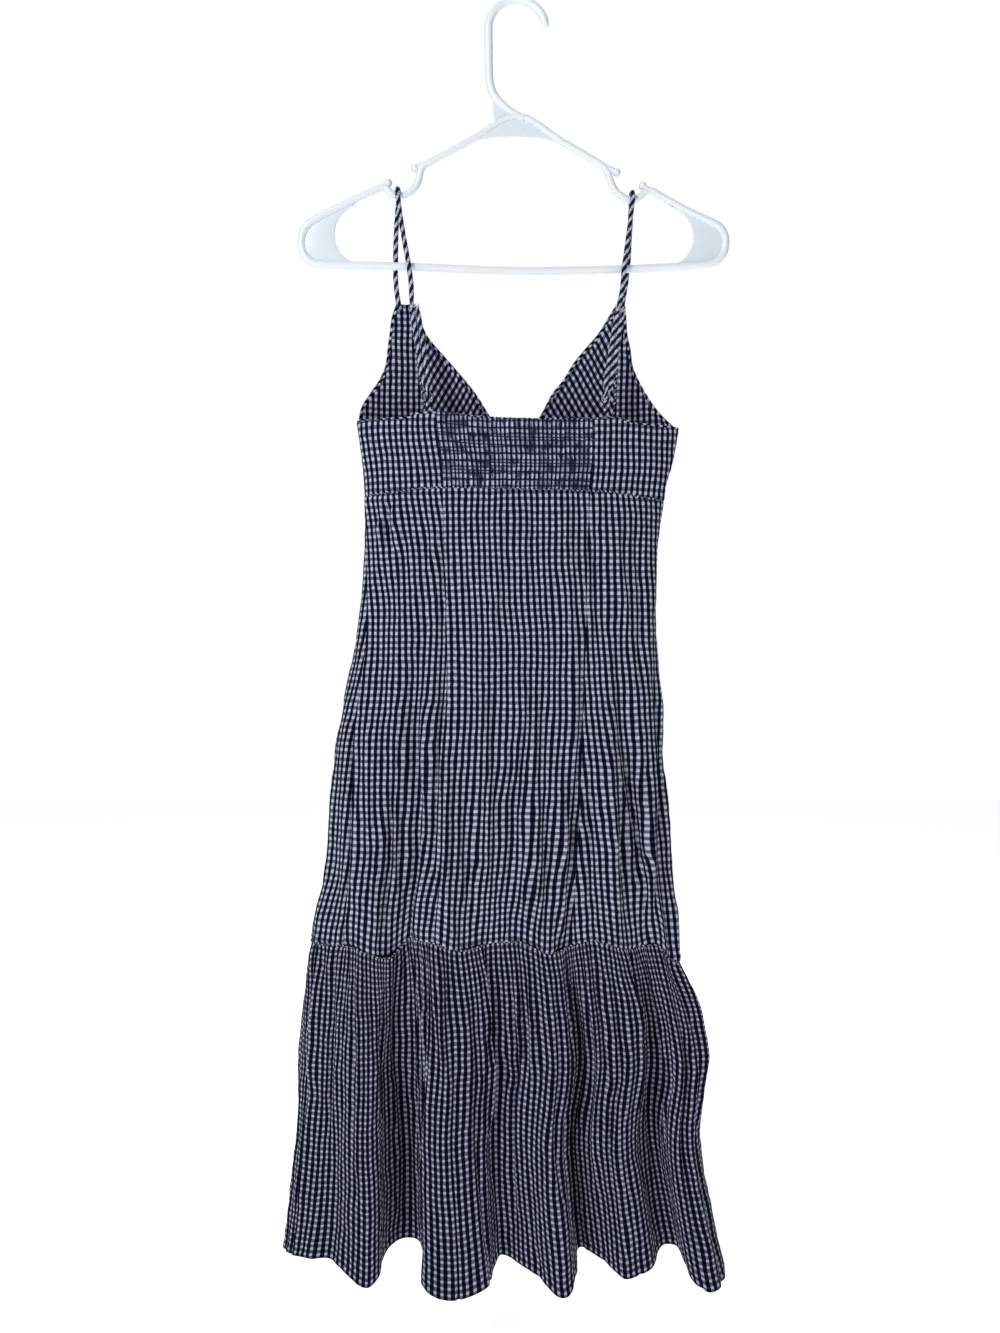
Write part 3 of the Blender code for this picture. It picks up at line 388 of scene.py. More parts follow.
# The hanger's centre line: from the top down the left arm, its notch and end, along the bar, and back up.
FRAME_LEFT = (
    (-0.001, -0.112), (-0.047, -0.1365), (-0.088, -0.1585), (-0.0945, -0.1625), (-0.0975, -0.1680),
    (-0.0992, -0.1760), (-0.1035, -0.1845), (-0.1110, -0.1900), (-0.1200, -0.1920), (-0.1275, -0.1885),
    (-0.1318, -0.1840), (-0.1370, -0.1838), (-0.1480, -0.1885), (-0.178, -0.203), (-0.203, -0.2160),
    (-0.2110, -0.2225), (-0.2155, -0.2310), (-0.2165, -0.2400), (-0.2145, -0.2490), (-0.2090, -0.2560),
    (-0.2005, -0.2600),
)
BAR = ((-0.173, -0.2615), (-0.118, -0.2625), (-0.003, -0.2670), (0.100, -0.2655), (0.165, -0.2625))
FRAME_RIGHT = (
    (0.1915, -0.2600), (0.2000, -0.2560), (0.2055, -0.2490), (0.2075, -0.2400), (0.2065, -0.2310),
    (0.2020, -0.2235), (0.194, -0.2185), (0.168, -0.206), (0.1400, -0.1905), (0.1330, -0.1868),
    (0.1275, -0.1880), (0.1220, -0.1930), (0.114, -0.1960), (0.1050, -0.1930), (0.0975, -0.1870),
    (0.0930, -0.1785), (0.0900, -0.1695), (0.0865, -0.1640), (0.0810, -0.1595), (0.042, -0.1365),
)
# The short fingers beside the notches, from root to tip, and the outlines of the webs.
STUBS = (
    ((-0.088, -0.1585), (-0.103, -0.1641)),
    ((-0.137, -0.1840), (-0.1297, -0.1790)),
    ((0.083, -0.1610), (0.0985, -0.1685)),
    ((0.131, -0.1860), (0.1247, -0.1820)),
)


def arc(centre, radius, start, end, count):
    turns = [start + (end - start) * k / count for k in range(count + 1)]
    return [(centre[0] + radius * math.cos(t), centre[1] + radius * math.sin(t)) for t in turns]


WEBS = (
    ((-0.050, -0.1375), (-0.001, -0.1115), (0.044, -0.1385), (0.022, -0.1335), (-0.003, -0.1320),
     (-0.028, -0.1335)),
    ((-0.0270, -0.0850), (-0.0040, -0.1095), (-0.0220, -0.1225)),
    (*arc((-0.1530, -0.2305), 0.0310, math.radians(110), math.radians(250), 24), (-0.173, -0.2615),
     (-0.202, -0.2593), (-0.2125, -0.2518), (-0.2163, -0.239), (-0.2123, -0.226), (-0.204, -0.2172),
     (-0.178, -0.2030)),
    (*arc((0.1450, -0.2325), 0.0310, math.radians(70), math.radians(-70), 24), (0.165, -0.2625),
     (0.193, -0.2593), (0.2033, -0.2518), (0.2073, -0.239), (0.2033, -0.227), (0.195, -0.2192),
     (0.168, -0.2058)),
)

# The check: its repeat across and down the cloth, the softness of a stripe's edge, one yarn's width with the
# next, and how far yarns stray.
CHECK_ACROSS = 0.00585
CHECK_DOWN = 0.0064
STRIPE_EDGE = 0.045
YARN = 0.00042
YARN_STRAY = (0.0010, 0.0012, 0.0)
CRINKLE_HEIGHT = 0.00050
WEAVE_HEIGHT = 0.000035

# Each cotton's settings: repeat across and down, half the light stripe as a share of the repeat both ways,
# crinkle, tone (on the tier darkened as painted shade), and the strength of the painted shade in its gathers.
CHECK_SETTINGS = ("Across", "Down", "Light Share", "Cross Share", "Crinkle", "Tone And Painted Shade", "Painted Gather Shade")
COTTONS = {
    "check_cotton": (CHECK_ACROSS, CHECK_DOWN, 0.225, 0.235, 1.0, 1.0, 0.0),
    # The tier's tone of 0.84 is painted shade of its deep crinkled folds.
    "tier_cotton": (0.0064, 0.0059, 0.200, 0.200, 1.5, 0.84, 0.0),
    # The shirred cloth's last setting paints shade into its gathers as navy blotches.
    "shirred_cotton": (SHIRR_CUT / SHIRR_GATHERS, CHECK_DOWN, 0.235, 0.330, 1.0, 1.25, 0.85),
    "strap_cotton": (CHECK_ACROSS, CHECK_DOWN, 0.215, 0.440, 1.0, 0.95, 0.0),
    "seam_cotton": (0.0032, CHECK_DOWN, 0.230, 0.235, 1.0, 1.0, 0.0),
}

# Colours of the check where dark and light yarns cross, of the painted shade in its gathers, of thread and of
# the hanger.
DARK_CLOTH = (0.0004, 0.0007, 0.0075)
GATHER_SHADE_NAVY = (0.006, 0.008, 0.040)
DARK_UNDER_WARP = (0.032, 0.035, 0.072)
LIGHT_WARP = (0.195, 0.203, 0.300)
DARK_UNDER_WEFT = (0.004, 0.005, 0.020)
LIGHT_WEFT = (0.017, 0.020, 0.054)
LIGHT_CLOTH = (0.500, 0.515, 0.655)
THREAD_DARK = (0.002, 0.003, 0.016)
THREAD_LIGHT = (0.010, 0.013, 0.045)
PLASTIC_LIGHT = (0.80, 0.85, 0.90)
PLASTIC_SHADE = (0.73, 0.79, 0.86)
# The webs' colours: a darker copy of the hanger's plastic, partly for their thin milky body and partly
# painted shade.
SHADED_WEB_LIGHT = (0.72, 0.79, 0.85)
SHADED_WEB_DARK = (0.67, 0.75, 0.82)

# Each light's name, place, aim, size and power.
LIGHTS = (
    ("key", (-1.30, -1.65, 0.80), (-0.03, 0, -0.75), (0.6, 0.8), 35.0),
    ("fill", (1.6, -1.5, -0.4), (0, 0, -0.75), (1.2, 1.8), 3.0),
    ("top", (0.0, 0.3, 1.3), (0, 0, -0.5), (1.8, 1.2), 7.0),
    ("rear", (0.4, 1.9, 0.1), (0, 0, -0.75), (1.6, 1.6), 8.0),
)
ROOM_LIGHT = 0.17
FLOOR_GLOW = 0.80

# The photo's camera and the floor.
CAMERA_PLACE = (-0.018, -1.100, -0.6625)
CAMERA_LENS = 39.6
SENSOR = 36.0
FLOOR = -1.345
FLOOR_SIZE = 9.0


def smooth(at, stations, values):
    """Values read between stations along a smooth curve; the stations may run up or down."""
    stations = np.asarray(stations, float)
    values = np.asarray(values, float)
    if stations[0] > stations[-1]:
        stations = stations[::-1]
        values = values[::-1]
    pitch = np.diff(values) / np.diff(stations)
    level = pitch[:-1] * pitch[1:] <= 0
    both = np.where(level, 1.0, pitch[:-1] + pitch[1:])
    inner = np.where(level, 0.0, 2 * pitch[:-1] * pitch[1:] / both)
    slopes = np.concatenate([pitch[:1], inner, pitch[-1:]])
    at = np.clip(at, stations[0], stations[-1])
    low = np.clip(np.searchsorted(stations, at) - 1, 0, len(stations) - 2)
    step = stations[low + 1] - stations[low]
    t = (at - stations[low]) / step
    rise = values[low + 1] - values[low]
    bend = slopes[low] * step - rise
    unbend = rise - slopes[low + 1] * step
    return values[low] + rise * t + t * (1 - t) * (bend * (1 - t) + unbend * t)


def section(column, z):
    return smooth(z, SECTIONS["z"], SECTIONS[column])


def q_of_share(share, front=False):
    """The q of a share of the width, on the back or the front."""
    side = 1 - 2 * np.asarray(share, float)
    turn = np.sign(side) * np.abs(side) ** (ROUNDNESS / 2)
    q = np.arccos(np.clip(turn, -1, 1)) / math.pi
    return 2 - q if front else q


def share_of_q(q):
    turn = np.cos(np.asarray(q, float) * math.pi)
    return (1 - np.sign(turn) * np.abs(turn) ** (2 / ROUNDNESS)) / 2


def q_of_x(x, z, front):
    left = section("left", z)
    right = section("right", z)
    return q_of_share(np.clip((x - left) / (right - left), 0, 1), front)


def bump(distance):
    """1 on a line, easing to 0 at a distance of 1."""
    return np.where(np.abs(distance) < 1, np.cos(distance * math.pi / 2) ** 2, 0)


def near(distance, reach):
    """1 on a line, easing off to 0 away from it."""
    return np.exp(-((distance / reach) ** 2))


def fold_height(q, z):
    """How far the skirt's long folds stand out."""
    share = share_of_q(q)
    back = np.mod(q, 2) < 1
    total = np.zeros(np.broadcast(q, z).shape)
    for side, at_bust, at_ruffle, depth, reach, start in FOLDS:
        down = np.clip((FOLDS_TOP - z) / (FOLDS_TOP - FOLDS_FOOT), 0, 1)
        grown = np.clip((start - z) / (start - FOLDS_FOOT), 0, 1) ** 1.3
        centre = at_bust + (at_ruffle - at_bust) * down
        here = depth * grown * bump((share - centre) / reach)
        total = total + np.where(back == (side == "back"), here, 0)
    return total


def plain_ring(q, z):
    """A point of the dress without its folds, in plan."""
    left = section("left", z)
    right = section("right", z)
    angle = q * math.pi
    across = -np.sign(np.cos(angle)) * np.abs(np.cos(angle)) ** (2 / ROUNDNESS)
    out = np.abs(np.sin(angle)) ** (2 / ROUNDNESS)
    depth = np.where(np.sin(angle) >= 0, -section("back", z), section("front", z))
    return (left + right) / 2 + (right - left) / 2 * across, section("side", z) + depth * out


def outward(x, y, next_x, next_y):
    """The plan direction that points out of the dress, from two points in the order of q."""
    along_x = next_x - x
    along_y = next_y - y
    length = np.hypot(along_x, along_y)
    return along_y / length, -along_x / length


def body(q, z):
    """A point of the dress with its long folds, in plan."""
    x, y = plain_ring(q, z)
    before = plain_ring(q - 0.004, z)
    after = plain_ring(q + 0.004, z)
    out_x, out_y = outward(*before, *after)
    height = fold_height(q, z)
    return x + out_x * height, y + out_y * height


def through_four(t, p0, p1, p2, p3):
    """A smooth curve from p1 to p2, by the way it comes from p0 and goes on to p3."""
    return p1 + 0.5 * t * (p2 - p0 + t * (2 * p0 - 5 * p1 + 4 * p2 - p3 + t * (3 * (p1 - p2) + p3 - p0)))


def hem_wave(line, column):
    """Where a line of the tier reaches the hem; whole lines are the table's."""
    values = np.asarray(WAVES[column])
    low = np.floor(line).astype(int)
    return through_four(line - low, *(values[(low + step) % len(values)] for step in (-1, 0, 1, 2)))


def wave_q(line):
    """The q where a line of the tier leaves the gathered seam."""
    count = len(WAVES["q"])
    turns = np.floor(line / count)
    stations = np.arange(count + 1)
    return np.interp(line - turns * count, stations, (*WAVES["q"], 2.0)) + 2 * turns


def ruffle_seam_z(q):
    return smooth(np.mod(q, 2), RUFFLE_SEAM["q"], RUFFLE_SEAM["z"])


def bust_seam_z(q):
    return smooth(np.mod(q, 2), BUST_SEAM["q"], BUST_SEAM["z"])


def back_top_z(q):
    return smooth(q, BACK_TOP["q"], BACK_TOP["z"])


def seam_dip(q, z):
    """The ruffle's seam waves up and down as its gathers pull on it, and the cloth beside it with it."""
    return smooth(np.mod(q, 2), SEAM_DIPS["q"], SEAM_DIPS["z"]) * near(z - ruffle_seam_z(q), DIP_REACH)


def ruffle_place(line, down):
    """The ruffle's outer face, without its gathers; down is 0 at the seam and 1 at the hem."""
    q = wave_q(line)
    top = ruffle_seam_z(q)
    z = top + (hem_wave(line, "z") - top) * down
    x, y = body(np.mod(q, 2), z)
    opened = down ** FOLD_GROWTH
    hem_x = hem_wave(line, "x")
    hem_y = hem_wave(line, "y")
    return np.stack([x + (hem_x - x) * opened, y + (hem_y - y) * opened, z + 0 * x], -1)


def from_bust_seam(ring, q, end, part):
    z = bust_seam_z(q) + (end - bust_seam_z(q)) * part
    return np.stack([*ring(q, z), z], -1)


def skirt_place(q, down):
    return from_bust_seam(body, q, ruffle_seam_z(q), down)


def back_place(q, up):
    return from_bust_seam(plain_ring, q, back_top_z(q), up)


def front_place(q, up):
    return from_bust_seam(plain_ring, q, PEAK, up)


def settled(place, row, start, q_at):
    """The q on each row of a surface where a line's course by height and the row's height agree."""
    q = np.full(np.shape(row), float(start))
    for _ in range(6):
        q = q_at(place(q, row)[..., 2])
    return q


def seam_q(seam, place, row):
    front = seam.startswith("front") or seam == "side_right"
    start = q_of_share(0.5, front)
    return settled(place, row, start, lambda z: q_of_share(smooth(z, SEAMS["z"], SEAMS[seam]), front))


def edge_q(table, hand, place, row, start):
    return settled(place, row, start, lambda z: q_of_x(smooth(z, table["z"], table[hand]), z, True))


def pulled_in(place, first, last, row):
    """Both ends of each row moved in by half a seam's gap."""
    step = 0.001
    moved = []
    for end, way in ((first, 1), (last, -1)):
        run = place(end + step, row) - place(end - step, row)
        moved.append(end + way * GAP / 2 * 2 * step / np.linalg.norm(run[..., :2], axis=-1))
    return moved


def faces_out(place, across, row, step=0.002):
    """Level directions out of a surface."""
    before = place(across - step, row)
    after = place(across + step, row)
    out_x, out_y = outward(before[..., 0], before[..., 1], after[..., 0], after[..., 1])
    return np.stack([out_x, out_y, np.zeros_like(out_x)], -1)


def run_along(points, axis):
    """The length run so far along one direction of a grid of points."""
    steps = np.linalg.norm(np.diff(points, axis=axis), axis=-1)
    start = np.zeros_like(np.take(steps, [0], axis=axis))
    return np.concatenate([start, np.cumsum(steps, axis=axis)], axis=axis)


def unit(vectors):
    return vectors / np.maximum(np.linalg.norm(vectors, axis=-1, keepdims=True), 1e-12)


def unevenness(seed, *places):
    """Smooth waves between -1 and 1 over one to three coordinates, each one counted in wave lengths."""
    size = 64
    table = np.random.default_rng(seed).uniform(-1, 1, (size,) * len(places))
    shape = np.broadcast(*places).shape
    cells = []
    eases = []
    for place in places:
        place = np.broadcast_to(place, shape)
        cell = np.floor(place).astype(int)
        part = place - cell
        cells.append(cell)
        eases.append(part ** 3 * (part * (part * 6 - 15) + 10))
    total = np.zeros(shape)
    for corner in np.ndindex(*(2,) * len(places)):
        weight = np.ones(shape)
        index = []
        for step, cell, ease in zip(corner, cells, eases):
            weight = weight * (ease if step else 1 - ease)
            index.append((cell + step) % size)
        total += weight * table[tuple(index)]
    return total


def crumple(points, across, down, seed):
    """Small uneven waves of the cloth, from where it hangs."""
    x, y, z = points[..., 0], points[..., 1], points[..., 2]
    return unevenness(seed, x / across + 31, y / across + 17, z / down + 40)


def layered(points, layers, down=0.0, seed=0):
    """The sum of layers of crumpled waves; down is the share of the way to the piece's lower seam."""
    total = np.zeros(points.shape[:-1])
    for first, added, across, length, number in layers:
        total += (first + added * down) * crumple(points, across, length, seed + number)
    return total


def grid_normals(points):
    return unit(np.cross(np.gradient(points, axis=0), np.gradient(points, axis=1)))


def tapered(along, power):
    """1 in the middle of a crease, and 0 at its ends and past them."""
    return np.clip(np.sin(np.clip(along, 0, 1) * math.pi), 0, 1) ** power


def pressed_lines(points, side):
    """The height of the skirt's listed creases, each one a soft trough or ridge."""
    x = points[..., 0]
    z = points[..., 2]
    total = np.zeros(x.shape)
    for x0, z0, x1, z1, depth, half in np.array(SKIRT_CREASES[side]) / 1000:
        along = (z - z0) / (z1 - z0)
        wander = 0.0022 * np.sin(along * 7.0 + x0 * 90.0)
        centre = x0 + (x1 - x0) * along + wander
        total += depth * tapered(along, 0.6) * bump((x - centre) / half)
    return SKIRT_CREASE_GROWTH * total


def grid_quads(index):
    corners = [index[:-1, :-1], index[:-1, 1:], index[1:, 1:], index[1:, :-1]]
    return np.stack(corners, -1).reshape(-1, 4)


def cloth_object(name, outer, uv, thick=CLOTH):
    """A closed thin shell of cloth from a grid of points, with a UV map in metres of flat cloth."""
    rows, columns = outer.shape[:2]
    inner = outer - grid_normals(outer) * thick
    points = np.concatenate([outer.reshape(-1, 3), inner.reshape(-1, 3)])
    index = np.arange(rows * columns).reshape(rows, columns)
    under = index + rows * columns
    quads = [grid_quads(index)[:, ::-1], grid_quads(under)]
    rims = (
        (index[0], under[0], False),
        (index[-1], under[-1], True),
        (index[:, 0], under[:, 0], True),
        (index[:, -1], under[:, -1], False),
    )
    for top, low, turned in rims:
        rim = np.stack([top[:-1], top[1:], low[1:], low[:-1]], -1)
        quads.append(rim[:, ::-1] if turned else rim)
    return mesh_object(name, points, np.concatenate(quads), np.concatenate([uv.reshape(-1, 2)] * 2))


def mesh_object(name, points, quads, uv):
    mesh = bpy.data.meshes.new(name)
    mesh.vertices.add(len(points))
    mesh.vertices.foreach_set("co", np.ascontiguousarray(points, np.float32).ravel())
    mesh.loops.add(quads.size)
    mesh.loops.foreach_set("vertex_index", np.ascontiguousarray(quads, np.int32).ravel())
    mesh.polygons.add(len(quads))
    mesh.polygons.foreach_set("loop_start", np.arange(0, quads.size, 4, dtype=np.int32))
    mesh.update(calc_edges=True)
    layer = mesh.uv_layers.new(name="cloth")
    layer.data.foreach_set("uv", np.ascontiguousarray(uv[quads.ravel()], np.float32).ravel())
    mesh.validate()
    mesh.shade_smooth()
    mesh.set_sharp_from_angle(angle=math.radians(70))
    made = bpy.data.objects.new(name, mesh)
    bpy.context.scene.collection.objects.link(made)
    return made


def finish_piece(piece, paint, replaced=()):
    piece.data.materials.clear()
    piece.data.materials.append(bpy.data.materials[paint])
    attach(piece, "root")
    if replaced:
        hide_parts(*replaced)
    return piece


def panel_cloth(name, grid, uv, thick=CLOTH, paint="check_cotton", rising=False):
    """A sewn panel in its solid's place; the grid of a rising one runs from its foot up."""
    if rising:
        grid, uv = grid[::-1], uv[::-1]
    return finish_piece(cloth_object(name + "_cloth", grid, uv, thick), paint, (name,))


def q_grid(place, first, last, rows, columns):
    """The q of each point of a panel, between its two seams."""
    first, last = pulled_in(place, first[:, None], last[:, None], rows[:, None])
    return first + (last - first) * np.linspace(0, 1, columns + 1)[None, :]


def panel_grid(place, first, last, rows, columns):
    """A panel's outer face as a fine grid, the way out of it, and the run from each of its sides."""
    across = q_grid(place, first, last, rows, columns)
    row = rows[:, None] + 0 * across
    points = place(across, row)
    run = run_along(points, 1)
    return points, faces_out(place, across, row), run, run[:, -1:] - run


def seam_press(distance, dip=SEAM_GROOVE):
    """A seam's groove, with the softly raised allowance pressed open beside it."""
    return 0.0003 * bump((distance - 0.0045) / 0.0045) - dip * near(distance, 0.0014)


def pucker(points, distance, seed, reach=0.007, height=0.0004):
    """Small ripples that sewing draws up beside a seam."""
    ripple = unevenness(seed, points[..., 2] / PUCKER + 300, points[..., 0] / PUCKER + 60)
    return height * ripple * near(distance, reach)


def sewn(points, distance, seed, reach=0.007, height=0.0004, dip=SEAM_GROOVE):
    return seam_press(distance, dip) + pucker(points, distance, seed, reach, height)


def closed_up(grid, run, reach=12):
    """How the check closes up on the sides of small folds, from the cloth they take beyond an even spread."""
    real = run_along(grid, 1)
    extra = real * run[:, -1:] / real[:, -1:] - run
    total = np.cumsum(np.pad(extra, ((0, 0), (reach, reach)), mode="edge"), axis=1)
    return extra - (total[:, 2 * reach:] - total[:, :-2 * reach]) / (2 * reach)


def trim_rows(place, count, top_edge=False):
    """Rows of a panel, clear of the seams below and above it."""
    span = np.ptp(place(np.array([0.5, 0.5]), np.array([0.0, 1.0]))[:, 2])
    trim = LEVEL_GAP / 2 / span
    return np.linspace(trim, 1 if top_edge else 1 - trim, count)


def wandering(points, seed):
    """How far the check strays from its true line, as crinkled cloth makes it."""
    return np.stack([layered(points, layers, seed=seed) for layers in CHECK_STRAY], -1)


def skirt_panel(name, first, last, rows, columns, seed):
    points, out, run, rest = panel_grid(skirt_place, first, last, rows, columns)
    side = "front" if "front" in name else "back"
    down = rows[:, None]
    from_top = run_along(points, 0)
    height = sewn(points, run, 11) + sewn(points, rest, 11)
    height += sewn(points, from_top, 12, 0.010, 0.0005)
    height += sewn(points, from_top[-1:] - from_top, 13, 0.012, 0.0007, 0.0012)
    height += pressed_lines(points, side) + layered(points, SKIRT_LAYERS, down)
    first_depth, added, across, drop, number = SKIRT_VALLEYS
    height -= (first_depth + added * down) * near(crumple(points, across, drop, number), SKIRT_NARROW)
    grid = points + height[..., None] * out
    middle = run[:, columns // 2][:, None]
    uv = np.stack([run - middle, -points[..., 2]], -1) + wandering(points, seed)
    uv[..., 0] += layered(points, SKIRT_SWAY, down) + SKIRT_CLOSING * closed_up(grid, run, 8)
    grid[..., 2] += seam_dip(q_grid(skirt_place, first, last, rows, columns), points[..., 2])
    piece = panel_cloth(name, grid, uv)


def seam_lines(place, rows):
    return {seam: seam_q(seam, place, rows) for seam in SEAMS if seam != "z"}


def make_skirt():
    rows = trim_rows(skirt_place, 186)
    edges = seam_lines(skirt_place, rows)
    edges["side_left_again"] = edges["side_left"] + 2
    panels = (
        ("skirt_back_side_left", "side_left", "back_left", 46),
        ("skirt_back", "back_left", "back_right", 72),
        ("skirt_back_side_right", "back_right", "side_right", 56),
        ("skirt_front_side_right", "side_right", "front_right", 46),
        ("skirt_front", "front_right", "front_left", 72),
        ("skirt_front_side_left", "front_left", "side_left_again", 66),
    )
    for number, (name, first, last, columns) in enumerate(panels):
        skirt_panel(name, edges[first], edges[last], rows, columns, 100 + 10 * number)


def make_back_sides():
    rows = trim_rows(back_place, 48, top_edge=True)
    edges = seam_lines(back_place, rows)
    for hand, first, last in (("left", "side_left", "back_left"), ("right", "back_right", "side_right")):
        name = "back_side_" + hand
        points, out, run, rest = panel_grid(back_place, edges[first], edges[last], rows, 60)
        climb = run_along(points, 0)
        height = sewn(points, run, 14) + sewn(points, rest, 14) + sewn(points, climb, 15, 0.008, 0.0005)
        grid = points + (height + layered(points, BACK_SIDE_LAYERS))[..., None] * out
        from_shirring, side = (-rest, 0) if hand == "left" else (run, -1)
        uv = np.stack([from_shirring, -BACK_SIDE_CLOSING * grid[..., 2]], -1) + wandering(points, 170)
        piece = panel_cloth(name, grid, uv, rising=True)
        fold = roll_along(name + "_top_fold", grid[-1], out[-1], TOP_FOLD)
        seam = roll_along(name + "_seam", grid[:, side], out[:, side], SIDE_ROLL, "seam_cotton")


def make_shirred():
    """Elastic rows pinch the cloth, and between them it puffs out in upright gathers."""
    rows = trim_rows(back_place, 92, top_edge=True)
    edges = seam_lines(back_place, rows)
    points, out, run, rest = panel_grid(back_place, edges["back_left"], edges["back_right"], rows, 322)
    share = run / run[:, -1:]
    band = (1 - SHIRR_HEADER - rows[:, None]) / (1 - SHIRR_HEADER) * SHIRR_ROWS
    part = band - np.floor(band)
    between = np.clip(1.9 * np.sin(part * math.pi), 0, 1) ** 0.6
    puff = np.where(band < 0, np.clip(-band * 1.5, 0, 1) ** 0.5, between)
    puff = puff * (0.8 + 0.35 * unevenness(31, share * 30, np.floor(band) + 20 + 0 * share))
    across = share * SHIRR_CUT + 0.0020 * unevenness(32, share * 14, band * 0.12 + 9)
    across += 0.0004 * unevenness(33, share * 26, band + 9)
    turn = SHIRR_GATHERS * across / SHIRR_CUT
    ridge = (0.5 + 0.5 * np.cos(turn * 2 * math.pi)) ** 0.9
    size = 1 + 0.45 * unevenness(34, share * 23, band * 0.8 + 5)
    height = ridge * size * (0.0011 + 0.0019 * puff) - 0.0002
    height += 0.0005 * unevenness(35, share * 9, band * 0.5 + 3)
    edge = near(np.minimum(run, rest), 0.0012)
    height = height * (1 - edge) - 0.0006 * edge
    grid = points + height[..., None] * out
    uv = np.stack([across, 0.0005 * unevenness(37, share * 24, band * 0.4 + 4) - grid[..., 2]], -1)
    piece = panel_cloth("back_shirred", grid, uv, 0.0003, "shirred_cotton", rising=True)
    threads = elastic_rows(grid, band)
    fold = roll_along("back_shirred_top_fold", grid[-1], out[-1], SHIRRED_FOLD)


def elastic_rows(grid, band):
    """The sewn elastic threads, drawn down between the puffs."""
    pieces = []
    for number in range(SHIRR_ROWS):
        row = int(np.argmin(np.abs(band[:, 0] - number)))
        line = (grid[row] * 0.5 + np.roll(grid[row], 2, axis=0) * 0.5)[4:-4]
        level = -unit(grid_normals(grid)[row][4:-4] * [1, 1, 0])
        pieces.append(tube_mesh(line + level * 0.0004, ELASTIC_RADIUS, 6))
    return finish_piece(joined("elastic_rows", pieces), "navy_thread")


def tube_mesh(path, radii, sides, flat=None, slant=0.0, stretch=1.0):
    """A closed tube along a path, round or flattened; its UV turns the cloth's grain by a slant."""
    path = np.asarray(path, float)
    along = unit(np.gradient(path, axis=0))
    if flat is None:
        side = np.zeros_like(path)
        guess = np.cross(along[0], (0.0, 1.0, 0.0))
        if np.linalg.norm(guess) < 0.2:
            guess = np.cross(along[0], (1.0, 0.0, 0.0))
        previous = unit(guess)
        for k, ahead in enumerate(along):
            previous = unit(previous - ahead * np.dot(previous, ahead))
            side[k] = previous
        up = np.cross(side, along)
        thin = 1.0
    else:
        up, thin = flat
        up = unit(up - along * (up * along).sum(-1, keepdims=True))
        side = np.cross(along, up)
    count = len(path)
    radii = np.broadcast_to(radii, (count,))
    angle = np.linspace(0, 2 * math.pi, sides + 1)
    ring = np.cos(angle)[None, :, None] * side[:, None, :]
    ring = ring + thin * np.sin(angle)[None, :, None] * up[:, None, :]
    points = (path[:, None, :] + ring * radii[:, None, None]).reshape(-1, 3)
    length = run_along(path, 0)
    around = angle[None, :] * float(np.mean(radii)) + 0 * length[:, None]
    down = length[:, None] * stretch + 0 * around
    turned = [
        around * math.cos(slant) + down * math.sin(slant),
        down * math.cos(slant) - around * math.sin(slant),
    ]
    uv = np.stack(turned, -1).reshape(-1, 2)
    index = np.arange(count * (sides + 1)).reshape(count, sides + 1)
    caps = []
    for end, centre in ((0, path[0]), (count - 1, path[-1])):
        middle = len(points)
        points = np.concatenate([points, centre[None, :]])
        uv = np.concatenate([uv, uv[index[end, :1]]])
        for k in range(0, sides, 2):
            fan = [index[end, k], index[end, k + 1], index[end, k + 2], middle]
            caps.append(fan if end else fan[::-1])
    return points, np.concatenate([grid_quads(index), np.array(caps)])[:, ::-1], uv


def roll_along(name, line, out, size, paint="check_cotton", inward=0.0):
    """A narrow fold or binding along an edge, flat against the cloth."""
    half, thick = size
    step = max(1, len(line) // 160)
    path = (line - out * CLOTH / 2 + inward)[::step]
    made = joined(name, [tube_mesh(path, half, 10, flat=(out[::step], thick / half / 2), slant=BIAS)])
    return finish_piece(made, paint)


def edge_binding(name, grid, out, rows, side):
    """A binding over a free edge; side is 0 for the first column and -1 for the last."""
    line = grid[rows, side]
    toward = unit(grid[rows, 1 if side == 0 else -2] - line)
    return roll_along(name, line, out[rows, side], BINDING, inward=toward * (BINDING[0] - 0.0005))


def weld(mesh, distance, turn_out=False):
    """Makes points that lie together one, and can turn all faces outward."""
    bm = bmesh.new()
    bm.from_mesh(mesh)
    bmesh.ops.remove_doubles(bm, verts=bm.verts[:], dist=distance)
    if turn_out:
        bmesh.ops.recalc_face_normals(bm, faces=bm.faces[:])
    bm.to_mesh(mesh)
    bm.free()


def joined(name, pieces):
    """Several meshes as one object."""
    moved = []
    start = 0
    for points, quads, uv in pieces:
        moved.append((points, quads + start, uv))
        start += len(points)
    made = mesh_object(name, *(np.concatenate(part) for part in zip(*moved)))
    weld(made.data, 0.000001)
    return made


def front_rows():
    """Rows of the front bodice, with one at the height of the neck's point."""
    trim = trim_rows(front_place, 2, top_edge=True)[0]
    span = PEAK - float(bust_seam_z(1.5))
    corner = 1 - (PEAK - V_POINT[1]) / span
    return np.concatenate([np.linspace(trim, corner, 26), np.linspace(corner, 1, 74)[1:]])


def make_front():
    rows = front_rows()
    heights = front_place(np.full(rows.shape, 1.5), rows)[..., 2]
    low = heights < V_POINT[1] + 1e-6
    for hand, start in (("left", 1.9), ("right", 1.1)):
        left = hand == "left"
        top_seam = edge_q(PRINCESS_TOP, hand, front_place, rows, start)
        princess = np.where(low, seam_q("front_" + hand, front_place, rows), top_seam)
        middle = q_of_x(np.full(rows.shape, V_POINT[0]), heights, True)
        centre = np.where(low, middle, edge_q(NECKLINE, hand, front_place, rows, start))
        side = seam_q("side_" + hand, front_place, rows) + (2 if left else 0)
        armhole = edge_q(ARMHOLE, hand, front_place, rows, start)
        outer = np.where(heights < UNDERARM, side, armhole)
        make_cup(hand, rows, heights, *((centre, princess) if left else (princess, centre)))
        make_front_side(hand, rows, heights, *((princess, outer) if left else (outer, princess)))


def soft_fold(at, z, place, half, foot, growth):
    return SOFT_FOLD * bump((at - place) / half) * np.clip((z - foot) / growth, 0, 1)


